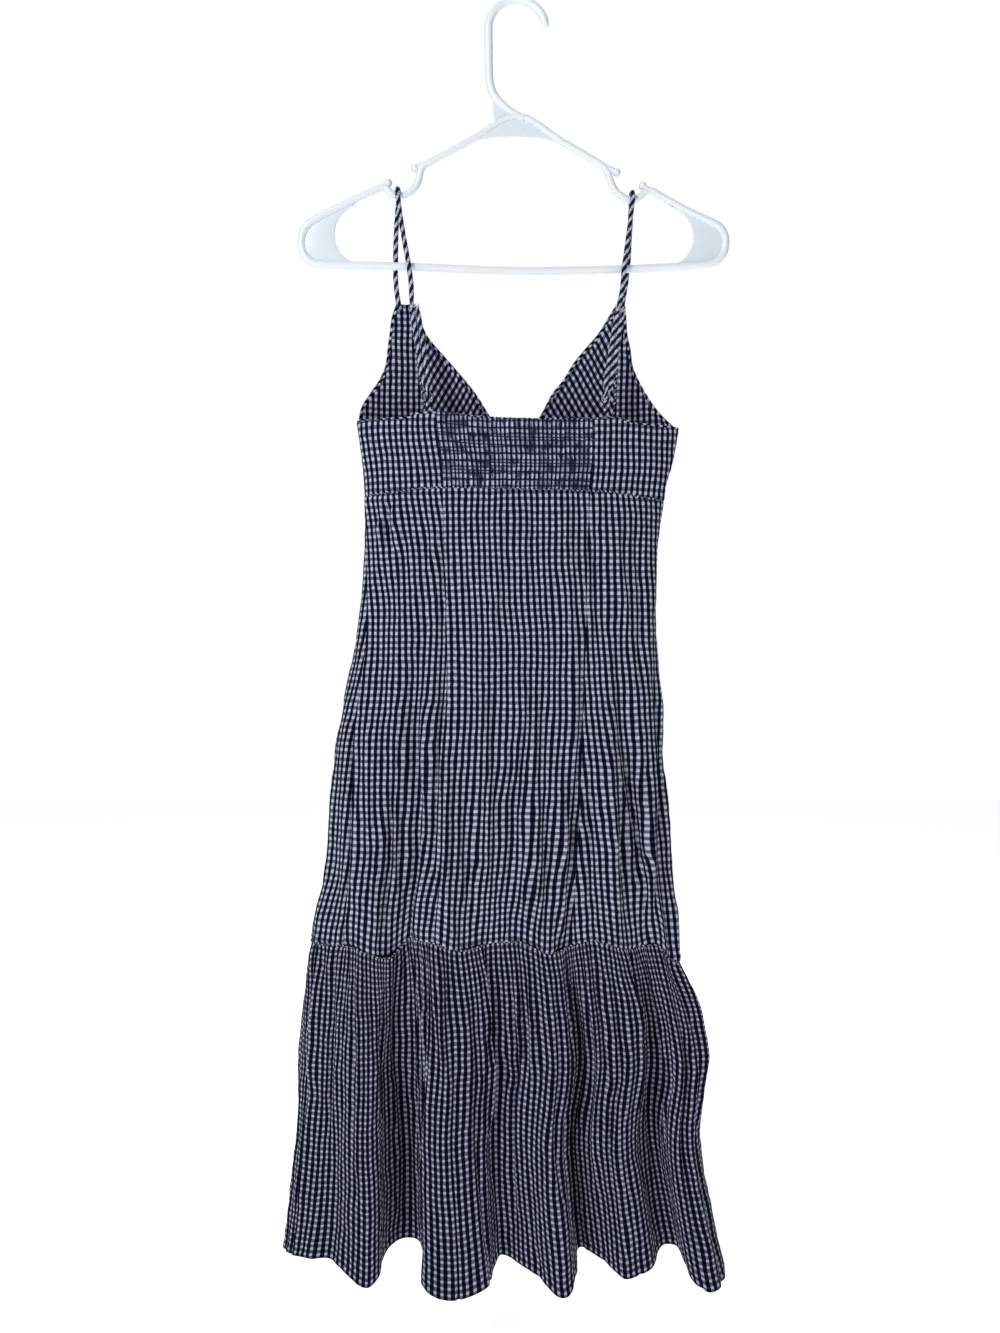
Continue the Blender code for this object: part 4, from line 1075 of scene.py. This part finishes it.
def make_cup(hand, rows, heights, first, last):
    """Half the front's middle, cut on the bias, so its check stands on its points."""
    points, out, run, rest = panel_grid(front_place, first, last, rows, 64)
    left = hand == "left"
    neck, princess, neck_side, princess_side = (run, rest, 0, -1) if left else (rest, run, -1, 0)
    climb = run_along(points, 0)
    below = heights < V_POINT[1]
    height = sewn(points, princess, 16) + sewn(points, climb, 16) + pucker(points, neck, 17, 0.006)
    height += np.where(below[:, None], seam_press(neck), 0) + layered(points, CUP_LAYERS)
    height += soft_fold(princess, points[..., 2], *CUP_FOLD)
    grid = points + height[..., None] * out
    x = points[..., 0] * (1 if left else -1)
    z = points[..., 2]
    across = x * math.sin(CUP_STRIPE) - z * math.cos(CUP_STRIPE)
    down = x * math.sin(CUP_CROSS) + z * math.cos(CUP_CROSS)
    uv = np.stack([across, down], -1) + wandering(points, 180)
    piece = panel_cloth("cup_" + hand, grid, uv, rising=True)
    binding = edge_binding("neck_binding_" + hand, grid, out, ~below, neck_side)
    seam = roll_along("princess_seam_" + hand, grid[:, princess_side], out[:, princess_side], PRINCESS_ROLL,
                      "seam_cotton")


def make_front_side(hand, rows, heights, first, last):
    """The piece from the princess seam round to the side, with a soft fold that rises to the strap."""
    points, out, run, rest = panel_grid(front_place, first, last, rows, 44)
    left = hand == "left"
    princess, outer, outer_side = (run, rest, -1) if left else (rest, run, 0)
    climb = run_along(points, 0)
    below = heights < UNDERARM
    height = sewn(points, princess, 18) + sewn(points, climb, 18) + layered(points, FRONT_SIDE_LAYERS)
    height += np.where(below[:, None], seam_press(outer), 0)
    fold = soft_fold(points[..., 0], points[..., 2], *SIDE_FOLDS[hand])
    height += fold * np.clip(outer / 0.01, 0, 1)
    grid = points + height[..., None] * out
    uv = np.stack([points[..., 0], -points[..., 2]], -1) + wandering(points, 190)
    piece = panel_cloth("front_side_" + hand, grid, uv, rising=True)
    binding = edge_binding("armhole_binding_" + hand, grid, out, ~below, outer_side)


def spread_lines(first, last, count):
    """Lines down the tier, spread between even spacing at its seam and at its hem."""
    lines = np.linspace(first, last, 2400)
    shares = []
    for down in (0.0, 1.0):
        run = run_along(ruffle_place(lines, np.full(lines.shape, down)), 0)
        shares.append(run / run[-1])
    share = SEAM_SHARE * shares[0] + (1 - SEAM_SHARE) * shares[1]
    spread = np.interp(np.linspace(0, 1, count + 1), share, lines)
    return spread, np.interp(spread, lines, shares[1])


def tier_waves(u, v, layers):
    """The sum of layers of waves over the tier's flat cloth, each one between where it starts and fades."""
    total = 0.0
    for seed, height, across, down, shift, start, fade in layers:
        started = 1 - np.exp(-v / start) if start else 1
        total = total + height * unevenness(seed, u / across + shift, v / down) * started * near(v, fade)
    return total


def tier_creases(u, row):
    whole = sum(RUFFLE_CUT)
    total = np.zeros(u.shape)
    for place, top, foot, lean, depth, half in RUFFLE_CREASES:
        along = (row - top) / (foot - top)
        wander = 0.0018 * np.sin(along * 6.5 + place * 60)
        distance = (u / whole - place - lean * along) * whole + wander
        total += depth * tapered(along, 0.5) * bump(distance / half)
    return TIER_CREASE_GROWTH * total


def make_ruffle(side, first, last, cut, offset, count, row_count):
    """The tier: fine gathers under the seam that run together into its large folds."""
    trim = LEVEL_GAP / 2 / RUFFLE_LENGTH
    rows = trim + (1 - trim) * np.linspace(0, 1, row_count) ** 1.25
    row = rows[:, None]
    ends = [np.full((row_count, 1), end) for end in (first, last)]
    start_lines, end_lines = pulled_in(ruffle_place, *ends, row)
    lines, share = spread_lines(first, last, count)
    part = (lines - first) / (last - first)
    across = start_lines + (end_lines - start_lines) * part[None, :]
    row = row + 0 * across
    points = ruffle_place(across, row)
    out = faces_out(ruffle_place, across, row, step=0.02)
    u = share[None, :] * cut + offset
    v = row * RUFFLE_LENGTH
    u = u + 0.0012 * unevenness(40, u / 0.05, v / 0.09 + 4)
    height = tier_waves(u, v, TIER_LAYERS) + tier_creases(u, row)
    seed, depth, width, drop = TIER_VALLEYS
    height -= depth * (1 - np.exp(-v / 0.006)) * near(unevenness(seed, u / width, v / drop), TIER_NARROW)
    from_hem = (1 - row) * RUFFLE_LENGTH
    height += 0.0004 * (from_hem < HEM_WIDTH) - 0.0006 * near(from_hem - HEM_WIDTH, 0.0013)
    height += 0.0004 * unevenness(46, u / 0.006, 5 + 0 * u) * near(from_hem - HEM_WIDTH, 0.004)
    height -= 0.0010 * near(v, 0.0016)
    height -= 0.0008 * near(np.minimum(part, 1 - part)[None, :] * (last - first), 0.06)
    grid = points + height[..., None] * out
    grid[..., 2] += seam_dip(wave_q(across), points[..., 2])
    uv = np.stack([u + closed_up(grid, u - u[:, :1]), v], -1)
    uv += np.stack([tier_waves(u, v, layers) for layers in TIER_STRAY], -1)
    piece = panel_cloth("ruffle_" + side, grid, uv, paint="tier_cotton")
    stitches = hem_stitches(side + "_hem_stitches", grid, rows)


def hem_stitches(name, grid, rows):
    """The stitches that hold the hem, each a short thread that dips in at its ends."""
    row = int(np.argmin(np.abs((1 - rows) * RUFFLE_LENGTH - HEM_WIDTH)))
    out = grid_normals(grid)[row]
    line = grid[row]
    run = run_along(line, 0)
    arch = np.array([-0.0001, 0.00022, 0.00028, 0.00022, -0.0001])[:, None]
    threads = []
    for start in np.arange(0.002, run[-1] - 0.004, STITCH):
        at = np.linspace(start, start + STITCH * STITCH_SHARE, 5)
        place, lift = (
            np.stack([np.interp(at, run, rail[:, k]) for k in range(3)], -1) for rail in (line, out)
        )
        threads.append(tube_mesh(place + lift * arch, STITCH_RADIUS, 4))
    return finish_piece(joined(name, threads), "navy_thread")


def make_tier():
    back, front = RUFFLE_CUT
    first, last = RUFFLE_SIDES
    make_ruffle("back", first, last, back, 0.0, 400, 118)
    make_ruffle("front", last, first + len(WAVES["q"]), front, back, 320, 92)


def make_seam_rolls():
    """The seams that run round the dress stand a little proud."""
    q = np.linspace(0, 2, 520)
    for name, z, lift in (("bust_seam", bust_seam_z(q), 0.0002), ("tier_seam", ruffle_seam_z(q), 0.0001)):
        points = np.stack([*body(np.mod(q, 2), z), z], -1)
        if name == "tier_seam":
            points[:, 2] += seam_dip(q, z)
        out_x, out_y = outward(*body(np.mod(q - 0.002, 2), z), *body(np.mod(q + 0.002, 2), z))
        out = np.stack([out_x, out_y, 0 * out_x], -1)
        uneven = 1 + 0.25 * unevenness(60, q * 60, 3 + 0 * q)
        path = points + out * (lift - 0.0004)
        path[:, 2] += 0.0004 * unevenness(61, q * 70, 5 + 0 * q)
        shape = tube_mesh(path, SEAM_ROLL * uneven, 8, flat=(out, 0.85), slant=0.6, stretch=1.4)
        finish_piece(joined(name, [shape]), "seam_cotton")


def curve_through(points, steps=6, closed=False):
    """A smooth line through points."""
    points = np.asarray(points, float)
    count = len(points)
    places = np.linspace(0, count if closed else count - 1, (count if closed else count - 1) * steps + 1)
    if closed:
        places = places[:-1]
    low = np.floor(places).astype(int)
    if not closed:
        low = np.minimum(low, count - 2)
    t = (places - low)[:, None]

    def pick(step):
        index = low + step
        return points[index % count] if closed else points[np.clip(index, 0, count - 1)]

    return through_four(t, *(pick(step) for step in (-1, 0, 1, 2)))


def top_edge_middle(x):
    """The middle of the back's top edge at a distance across."""
    q = 0.35 if x < 0 else 0.65
    for _ in range(6):
        z = float(back_top_z(q))
        q = float(q_of_x(x, z, False))
    outer = back_place(np.array(q), np.array(1.0))
    return outer - CAD_WALL / 2 * faces_out(back_place, np.array(q), np.array(1.0))


def make_strap(hand, peak, front, notch, rear, slider, ring_x, ring_z):
    """A rouleau tube over the hanger, down through slider and ring, and back up to the slider."""
    seat = top_edge_middle(ring_x)
    ring = Vector((ring_x, seat[1], ring_z))
    over = ARM_RADIUS + STRAP_RADIUS + 3 * GAP
    loop = [
        (notch[0], over * math.cos(turn), notch[1] + over * math.sin(turn))
        for turn in np.linspace(0, math.pi, 7)
    ]
    top = Vector(slider)
    down = (ring - top).normalized()
    side = Vector((down.z, 0, -down.x)).normalized()
    turn_radius = RING_WIRE + STRAP_PINCHED + 1.3 * GAP
    bar = ring + Vector((0, 0, RING_RADIUS))
    bend = [
        bar + Vector((0, turn_radius * -math.cos(turn), turn_radius * -math.sin(turn)))
        for turn in np.linspace(0, math.pi, 7)
    ]
    pinch = STRAP_PINCHED + GAP / 2 + 0.00005
    apart = STRAP_RADIUS + GAP / 2 + 0.00005
    length = (bar - top).length
    reach = (0, 0.012, length * 0.55, length - 0.016)

    def beside(way, places):
        """One run of the doubled strap, close to the other only at the slider."""
        return [top + side * (way * (apart if k else pinch)) + down * k for k in places]

    lead = top + side * pinch - down * 0.008
    path = [peak, *front, *loop, *rear, lead, *beside(1, reach), *bend, *beside(-1, reversed(reach))]
    fine = curve_through([tuple(place) for place in path], 8)
    squeezed = STRAP_PINCHED / STRAP_RADIUS
    nearest = np.minimum(
        np.linalg.norm(fine - np.array(top), axis=1), np.linalg.norm(fine - np.array(bar), axis=1)
    )
    eased = np.clip((nearest - PINCH_REACH * 0.6) / PINCH_REACH, 0, 1)
    radii = STRAP_RADIUS * (squeezed + (1 - squeezed) * eased)
    run = run_along(fine, 0)
    radii = radii * (1 + 0.05 * unevenness(70 if hand == "left" else 71, run / 0.007, 2 + 0 * run))
    shape = tube_mesh(fine, radii, 14, slant=math.asin(CHECK_ACROSS / STRAP_REPEAT))
    finish_piece(joined(f"strap_{hand}_cloth", [shape]), "strap_cotton", ("strap_" + hand,))
    make_ring(hand, ring)
    make_tab(hand, ring, seat)
    make_slider(hand, top, down, side, pinch)


def make_tab(hand, ring, seat):
    """A folded loop of cloth round the ring's lower side, its doubled end sewn to the back's top edge."""
    bottom = ring.z - RING_RADIUS
    length = bottom - seat[2] - GAP
    hole = RING_WIRE + GAP
    radius = hole + TAB_THICK / 2
    leg = TAB_THICK / 2 + 0.00006
    rise = [(-leg, -length), (-leg, -length * 0.6), (-leg * 1.2, -length * 0.35)]
    over = arc((0.0, 0.0006), radius, math.pi + 0.15, -0.15, 8)
    fall = [(-x, z) for x, z in reversed(rise)]
    flat = curve_through([*rise, *over, *fall], 5)
    points = np.stack([ring.x + 0 * flat[:, 0], ring.y + flat[:, 0], bottom + flat[:, 1]], -1)
    along = unit(np.gradient(points, axis=0))
    up = np.cross(along, (1.0, 0.0, 0.0))
    shape = tube_mesh(points, TAB_WIDTH / 2, 12, flat=(up, TAB_THICK / TAB_WIDTH), slant=BIAS)
    finish_piece(joined(f"tab_{hand}_cloth", [shape]), "check_cotton", ("tab_" + hand,))


def make_ring(hand, centre):
    """A moulded ring: round in front, flattened a little where the two halves of its mould met."""
    bpy.ops.mesh.primitive_torus_add(
        major_segments=48,
        minor_segments=16,
        major_radius=RING_RADIUS,
        minor_radius=RING_WIRE,
        location=centre,
        rotation=(math.pi / 2, 0, 0),
    )
    ring = bpy.context.object
    bpy.ops.object.transform_apply(location=True, rotation=True, scale=True)
    bpy.ops.object.mode_set(mode="EDIT")
    bpy.ops.transform.resize(value=(1, 0.88, 1), center_override=centre)
    bpy.ops.object.mode_set(mode="OBJECT")
    ring.name = f"ring_{hand}_clear"
    bpy.ops.object.shade_smooth()
    finish_piece(ring, "clear_ring", ("ring_" + hand,))


def make_slider(hand, centre, down, side, pinch):
    """A small clear band round both runs of the strap, pierced lengthways."""
    width = 2 * (pinch + STRAP_PINCHED + 1.5 * GAP + SLIDER_WALL)
    depth = 2 * (STRAP_PINCHED + 1.5 * GAP + SLIDER_WALL)
    bpy.ops.mesh.primitive_cube_add(size=1, location=(0, 0, 0))
    slider = bpy.context.object
    slider.scale = (width, depth, SLIDER_HEIGHT)
    bpy.ops.object.transform_apply(location=True, rotation=True, scale=True)
    bpy.ops.object.mode_set(mode="EDIT")
    bpy.ops.mesh.select_mode(type="EDGE")
    bpy.ops.mesh.select_all(action="DESELECT")
    bm = bmesh.from_edit_mesh(slider.data)
    for edge in bm.edges:
        edge.select = abs(edge.verts[0].co.z - edge.verts[1].co.z) > SLIDER_HEIGHT / 2
    bmesh.update_edit_mesh(slider.data)
    bpy.ops.mesh.bevel(offset=depth * 0.42, segments=6, affect="EDGES")
    bpy.ops.mesh.select_mode(type="FACE")
    bm = bmesh.from_edit_mesh(slider.data)
    for face in bm.faces:
        face.select = abs(face.normal.z) > 0.9
    bmesh.update_edit_mesh(slider.data)
    bpy.ops.mesh.inset(thickness=SLIDER_WALL, use_individual=True)
    bpy.ops.mesh.bridge_edge_loops()
    bpy.ops.object.mode_set(mode="OBJECT")
    rounding = slider.modifiers.new("rounding", "BEVEL")
    rounding.width = 0.00025
    rounding.segments = 3
    rounding.limit_method = "ANGLE"
    bpy.ops.object.modifier_apply(modifier=rounding.name)
    slider.matrix_world = Matrix.Translation(centre) @ Matrix(
        (side, -down.cross(side), -down)
    ).transposed().to_4x4()
    bpy.ops.object.transform_apply(location=True, rotation=True, scale=True)
    slider.name = f"slider_{hand}_clear"
    bpy.ops.object.shade_smooth_by_angle(angle=math.radians(40))
    finish_piece(slider, "clear_ring", ("slider_" + hand,))


def make_straps():
    make_strap(
        "left",
        peak=(-0.1188, 0.0060, -0.3040),
        front=((-0.1222, 0.0085, -0.284), (-0.1232, 0.0082, -0.262), (-0.1225, 0.0076, -0.225)),
        notch=(-0.1200, -0.1920),
        rear=((-0.1155, -0.0076, -0.225), (-0.1083, -0.0082, -0.266), (-0.1060, -0.0084, -0.286)),
        slider=(-0.1028, -0.0085, -0.3055),
        ring_x=-0.0885,
        ring_z=-0.3970,
    )
    make_strap(
        "right",
        peak=(0.1040, 0.0060, -0.3040),
        front=((0.1075, 0.0085, -0.284), (0.1105, 0.0082, -0.262), (0.1125, 0.0076, -0.228)),
        notch=(0.1140, -0.1960),
        rear=((0.1105, -0.0076, -0.228), (0.1055, -0.0082, -0.266), (0.1035, -0.0084, -0.288)),
        slider=(0.1014, -0.0085, -0.3095),
        ring_x=0.0862,
        ring_z=-0.3994,
    )


def select_only(*objects):
    bpy.ops.object.select_all(action="DESELECT")
    for made in objects:
        made.select_set(True)
    bpy.context.view_layer.objects.active = objects[0]


def curve_mesh(name, points, closed, **settings):
    """The mesh of a bevelled curve; each point has its place and its radius."""
    curve = bpy.data.curves.new(name, "CURVE")
    for key, value in settings.items():
        setattr(curve, key, value)
    spline = curve.splines.new("POLY")
    spline.points.add(len(points) - 1)
    for point, (x, y, z, radius) in zip(spline.points, points):
        point.co = (x, y, z, 1.0)
        point.radius = radius
    spline.use_cyclic_u = closed
    holder = bpy.data.objects.new(name, curve)
    bpy.context.scene.collection.objects.link(holder)
    select_only(holder)
    bpy.ops.object.convert(target="MESH")
    made = bpy.context.object
    weld(made.data, 0.00001, turn_out=True)
    return made


def hanger_tube(name, places, radii, closed=False):
    """A round moulded tube along points in the hanger's plane."""
    rail = [(x, 0.0, z, radius) for (x, z), radius in zip(places, radii)]
    return curve_mesh(name, curve_through(rail, 4, closed), closed, dimensions="3D", bevel_depth=1.0,
                      bevel_resolution=8, use_fill_caps=not closed)


def hanger_web(name, outline):
    """A thin web between the tubes, with a rounded rim."""
    made = curve_mesh(name, [(x, z, 0.0, 1.0) for x, z in outline], True, dimensions="2D", fill_mode="BOTH",
                      extrude=WEB_THICK / 2 - WEB_ROUNDING, bevel_depth=WEB_ROUNDING, bevel_resolution=2)
    made.data.transform(Matrix.Rotation(math.pi / 2, 4, "X"))
    return made


def knob(name, x, z):
    bpy.ops.mesh.primitive_uv_sphere_add(segments=24, ring_count=14, radius=KNOB_RADIUS, location=(x, 0, z))
    made = bpy.context.object
    bpy.ops.object.transform_apply(location=True, rotation=True, scale=True)
    made.name = name
    return made


def merged(name, parts):
    select_only(*parts)
    bpy.ops.object.join()
    parts[0].name = name
    bpy.ops.object.shade_smooth_by_angle(angle=math.radians(50))
    return parts[0]


def make_hanger():
    places = [*FRAME_LEFT, *BAR, *FRAME_RIGHT]
    radii = [BAR_RADIUS if z < BAR_TOP else ARM_RADIUS for _, z in places]
    parts = [hanger_tube("hanger_moulded", places, radii, closed=True)]
    bend = arc(HOOK_CENTRE, HOOK_RADIUS, math.radians(8), math.pi, 16)
    hook = [(bend[0][0] + 0.0003, bend[0][1] - 0.0022), *bend, *HOOK_STEM]
    shares = [0.62, 0.94, *[1.0] * (len(hook) - 4), 0.92, 0.85]
    parts.append(hanger_tube("hook", hook, [HOOK_WIRE * share for share in shares]))
    for root, tip in STUBS:
        parts.append(hanger_tube("finger", (root, tip), (ARM_RADIUS * 0.88,) * 2))
        parts.append(knob("knob", *tip))
    finish_piece(merged("hanger_moulded", parts), "white_plastic", ("hanger",))
    webs = [hanger_web(f"web_{number}", outline) for number, outline in enumerate(WEBS)]
    # The webs take the darker copy of the plastic, partly painted shade.
    finish_piece(merged("hanger_webs", webs), "shaded_web_plastic")


def wire(tree, node, inputs):
    """Sets a node's inputs, each one to a value or to the output of another node."""
    for key, value in inputs.items():
        socket = node.inputs[key]
        if isinstance(value, bpy.types.NodeSocket):
            tree.links.new(value, socket)
        else:
            socket.default_value = (*value, 1.0) if socket.type == "RGBA" else value


def add_node(tree, kind, inputs=None, **settings):
    node = tree.nodes.new(kind)
    for key, value in settings.items():
        setattr(node, key, value)
    wire(tree, node, inputs or {})
    return node


def new_material(name):
    made = bpy.data.materials.new(name)
    made.use_nodes = True
    return made.node_tree, made.node_tree.nodes["Principled BSDF"]


def maths(tree, operation, *inputs, clamp=False):
    values = dict(enumerate(inputs))
    return add_node(tree, "ShaderNodeMath", values, operation=operation, use_clamp=clamp).outputs[0]


def scaled(tree, place, factors):
    return add_node(tree, "ShaderNodeVectorMath", {0: place, 1: factors}, operation="MULTIPLY").outputs[0]


def noise(tree, place, scale=1.0, detail=2.0, rough=0.5, output="Fac"):
    values = {"Vector": place, "Scale": scale, "Detail": detail, "Roughness": rough}
    return add_node(tree, "ShaderNodeTexNoise", values).outputs[output]


def mixed(tree, factor, first, second):
    return add_node(tree, "ShaderNodeMix", {0: factor, 6: first, 7: second}, data_type="RGBA").outputs[2]


def bumped(tree, height, distance, strength=1.0):
    values = {"Height": height, "Distance": distance, "Strength": strength}
    return add_node(tree, "ShaderNodeBump", values).outputs[0]


def object_place(tree):
    return add_node(tree, "ShaderNodeTexCoord").outputs["Object"]


def cloth_place(tree):
    return add_node(tree, "ShaderNodeUVMap", uv_map="cloth").outputs[0]


def stripe(tree, place, period, share):
    """1 inside a light stripe, 0 between, with a soft edge as wide as a yarn or two."""
    turned = maths(tree, "FRACT", maths(tree, "DIVIDE", place, period))
    middle = maths(tree, "ABSOLUTE", maths(tree, "SUBTRACT", turned, 0.5))
    values = {
        "Value": middle,
        "From Min": maths(tree, "SUBTRACT", share, STRIPE_EDGE),
        "From Max": maths(tree, "ADD", share, STRIPE_EDGE),
        "To Min": 1.0,
        "To Max": 0.0,
    }
    node = add_node(tree, "ShaderNodeMapRange", interpolation_type="SMOOTHSTEP")
    wire(tree, node, values)
    return node.outputs["Result"]


def woven_check():
    """The woven check: light and dark yarns both ways, a plain weave, crinkle and small slubs, with painted
    shade where it is gathered or deeply folded.
    """
    tree = bpy.data.node_groups.new("woven_check", "ShaderNodeTree")
    add_socket = tree.interface.new_socket
    add_socket(name="Cloth Place", in_out="INPUT", socket_type="NodeSocketVector")
    for name in CHECK_SETTINGS:
        add_socket(name=name, in_out="INPUT", socket_type="NodeSocketFloat")
    for name, kind in (("Colour", "Color"), ("Roughness", "Float"), ("Height", "Float")):
        add_socket(name=name, in_out="OUTPUT", socket_type="NodeSocket" + kind)
    source = tree.nodes.new("NodeGroupInput").outputs
    place = source["Cloth Place"]
    stray = noise(tree, place, 170.0, 1.0, output="Color")
    strayed = {0: stray, 1: YARN_STRAY, 2: place}
    moved = add_node(tree, "ShaderNodeVectorMath", strayed, operation="MULTIPLY_ADD").outputs[0]
    u, v, _ = add_node(tree, "ShaderNodeSeparateXYZ", {0: moved}).outputs
    warp = stripe(tree, u, source["Across"], source["Light Share"])
    weft = stripe(tree, v, source["Down"], source["Cross Share"])
    over = maths(tree, "MULTIPLY", *(maths(tree, "SINE", maths(tree, "MULTIPLY", way, 2 * math.pi / YARN))
                                     for way in (u, v)))
    warp_only = mixed(tree, maths(tree, "MULTIPLY_ADD", over, 0.16, 0.5), DARK_UNDER_WARP, LIGHT_WARP)
    weft_only = mixed(tree, maths(tree, "MULTIPLY_ADD", over, -0.16, 0.5), DARK_UNDER_WEFT, LIGHT_WEFT)
    with_warp = mixed(tree, weft, warp_only, LIGHT_CLOTH)
    without = mixed(tree, weft, DARK_CLOTH, weft_only)
    check = mixed(tree, warp, without, with_warp)
    # Painted shade of the gathers: navy blotches where streaks and clouds come together, as strong as the
    # cloth's painted gather shade; it also stands for light yarns folded out of sight.
    streaks = noise(tree, scaled(tree, place, (420.0, 70.0, 1.0)), detail=1.0)
    clouds = noise(tree, scaled(tree, place, (52.0, 75.0, 1.0)), detail=1.5)
    gather_shade = maths(tree, "MULTIPLY_ADD", streaks, 0.5, clouds)
    gather_shade = maths(tree, "MULTIPLY_ADD", gather_shade, 8.0, -6.25, clamp=True)
    check = mixed(tree, maths(tree, "MULTIPLY", gather_shade, source["Painted Gather Shade"]), check, GATHER_SHADE_NAVY)
    patch = noise(tree, place, 45.0)
    shade = 0.66
    layers = (
        (noise(tree, scaled(tree, place, (1400.0, 120.0, 1.0)), detail=1.0), 0.22),
        (noise(tree, scaled(tree, place, (110.0, 1300.0, 1.0)), detail=1.0), 0.16),
        (patch, 0.30),
    )
    for layer, weight in layers:
        shade = maths(tree, "MULTIPLY_ADD", layer, weight, shade)
    # The tone setting scales the cloth's colour; on the tier its darkening is painted shade.
    shade = maths(tree, "MULTIPLY", shade, source["Tone And Painted Shade"])
    tint = add_node(tree, "ShaderNodeVectorMath", {0: check, "Scale": shade}, operation="SCALE")
    crinkle = maths(tree, "MULTIPLY", noise(tree, place, 330.0, 3.0, 0.6), source["Crinkle"])
    wire(tree, tree.nodes.new("NodeGroupOutput"), {
        "Colour": tint.outputs[0],
        "Roughness": maths(tree, "MULTIPLY_ADD", patch, 0.2, 0.72),
        "Height": maths(tree, "ADD", maths(tree, "MULTIPLY", crinkle, CRINKLE_HEIGHT),
                        maths(tree, "MULTIPLY", over, WEAVE_HEIGHT)),
    })
    return tree


def cotton_material(name, check, settings):
    tree, shader = new_material(name)
    inputs = {"Cloth Place": cloth_place(tree), **dict(zip(CHECK_SETTINGS, settings))}
    cotton = add_node(tree, "ShaderNodeGroup", inputs, node_tree=check)
    wire(tree, shader, {
        "Base Color": cotton.outputs["Colour"],
        "Roughness": cotton.outputs["Roughness"],
        "Normal": bumped(tree, cotton.outputs["Height"], 1.0, 0.8),
        "Specular IOR Level": 0.03,
        "Sheen Weight": 0.01,
        "Sheen Roughness": 0.45,
        "Sheen Tint": (0.80, 0.82, 0.95),
    })


def thread_material():
    tree, shader = new_material("navy_thread")
    twist = {"Vector": cloth_place(tree), "Scale": 900.0, "Distortion": 1.5}
    ply = add_node(tree, "ShaderNodeTexWave", twist).outputs["Fac"]
    wire(tree, shader, {
        "Base Color": mixed(tree, ply, THREAD_DARK, THREAD_LIGHT),
        "Normal": bumped(tree, ply, 0.00005),
        "Roughness": 0.8,
        "Specular IOR Level": 0.1,
    })


def plastic_material(name, light, dark):
    """Milky moulded plastic: a clouded body, a faint orange peel and light handling scratches."""
    tree, shader = new_material(name)
    place = object_place(tree)
    wire(tree, shader, {
        "Base Color": mixed(tree, noise(tree, place, 22.0, 3.0), dark, light),
        "Roughness": maths(tree, "MULTIPLY_ADD", noise(tree, place, 45.0), 0.14, 0.30),
        "Normal": bumped(tree, noise(tree, place, 55.0, 1.0), 0.00006, 0.5),
        "IOR": 1.5,
        "Coat Weight": 0.15,
        "Coat Roughness": 0.22,
    })


def clear_material():
    tree, shader = new_material("clear_ring")
    haze = noise(tree, object_place(tree), 800.0, 3.0)
    wire(tree, shader, {
        "Base Color": mixed(tree, haze, (0.86, 0.88, 0.90), (0.95, 0.96, 0.97)),
        "Roughness": maths(tree, "MULTIPLY_ADD", haze, 0.10, 0.03),
        "Transmission Weight": 0.85,
        "IOR": 1.49,
    })


def floor_material():
    tree, shader = new_material("pale_floor")
    wire(tree, shader, {
        "Base Color": mixed(tree, noise(tree, object_place(tree), 3.0), (0.93,) * 3, (0.97,) * 3),
        "Roughness": 0.9,
        "Specular IOR Level": 0.1,
        "Emission Color": (1.0, 1.0, 1.0),
        "Emission Strength": FLOOR_GLOW,
    })


def make_materials():
    check = woven_check()
    for name, settings in COTTONS.items():
        cotton_material(name, check, settings)
    thread_material()
    plastic_material("white_plastic", PLASTIC_LIGHT, PLASTIC_SHADE)
    plastic_material("shaded_web_plastic", SHADED_WEB_LIGHT, SHADED_WEB_DARK)
    clear_material()
    floor_material()


def soft_light(name, place, aim, size, power):
    light = bpy.data.lights.new(name, "AREA")
    light.shape = "RECTANGLE"
    light.size, light.size_y = size
    light.energy = power
    made = bpy.data.objects.new(name, light)
    made.location = place
    made.rotation_euler = (Vector(aim) - Vector(place)).to_track_quat("-Z", "Y").to_euler()
    bpy.context.scene.collection.objects.link(made)


def white_world():
    """A room that lights the dress only a little, but is white where the camera sees it."""
    world = bpy.data.worlds.new("studio")
    world.use_nodes = True
    tree = world.node_tree
    lit = tree.nodes["Background"]
    wire(tree, lit, {"Color": (0.94, 0.96, 1), "Strength": ROOM_LIGHT})
    seen = add_node(tree, "ShaderNodeBackground", {"Color": (1, 1, 1), "Strength": 1.0})
    by_camera = add_node(tree, "ShaderNodeLightPath").outputs["Is Camera Ray"]
    choice = add_node(tree, "ShaderNodeMixShader", {0: by_camera, 1: lit.outputs[0], 2: seen.outputs[0]})
    wire(tree, tree.nodes["World Output"], {"Surface": choice.outputs[0]})
    bpy.context.scene.world = world


def studio():
    """A camera level with the dress's middle, a pale floor, and wide soft lights."""
    camera = bpy.data.cameras.new("camera")
    camera.sensor_width = SENSOR
    camera.sensor_fit = "HORIZONTAL"
    camera.lens = CAMERA_LENS
    camera.clip_start = 0.05
    made = bpy.data.objects.new("camera", camera)
    made.location = CAMERA_PLACE
    made.rotation_euler = (math.pi / 2, 0, 0)
    bpy.context.scene.collection.objects.link(made)
    bpy.context.scene.camera = made
    bpy.ops.mesh.primitive_plane_add(size=FLOOR_SIZE, location=(0, 0, FLOOR))
    floor = bpy.context.object
    floor.name = "studio_floor"
    bpy.ops.object.transform_apply(location=True, rotation=True, scale=True)
    floor.data.materials.append(bpy.data.materials["pale_floor"])
    white_world()
    bpy.context.scene.view_settings.view_transform = "Standard"
    for light in LIGHTS:
        soft_light(*light)


def main():
    make_materials()
    studio()
    make_hanger()
    make_straps()
    make_shirred()
    make_back_sides()
    make_front()
    make_skirt()
    make_tier()
    make_seam_rolls()


main()
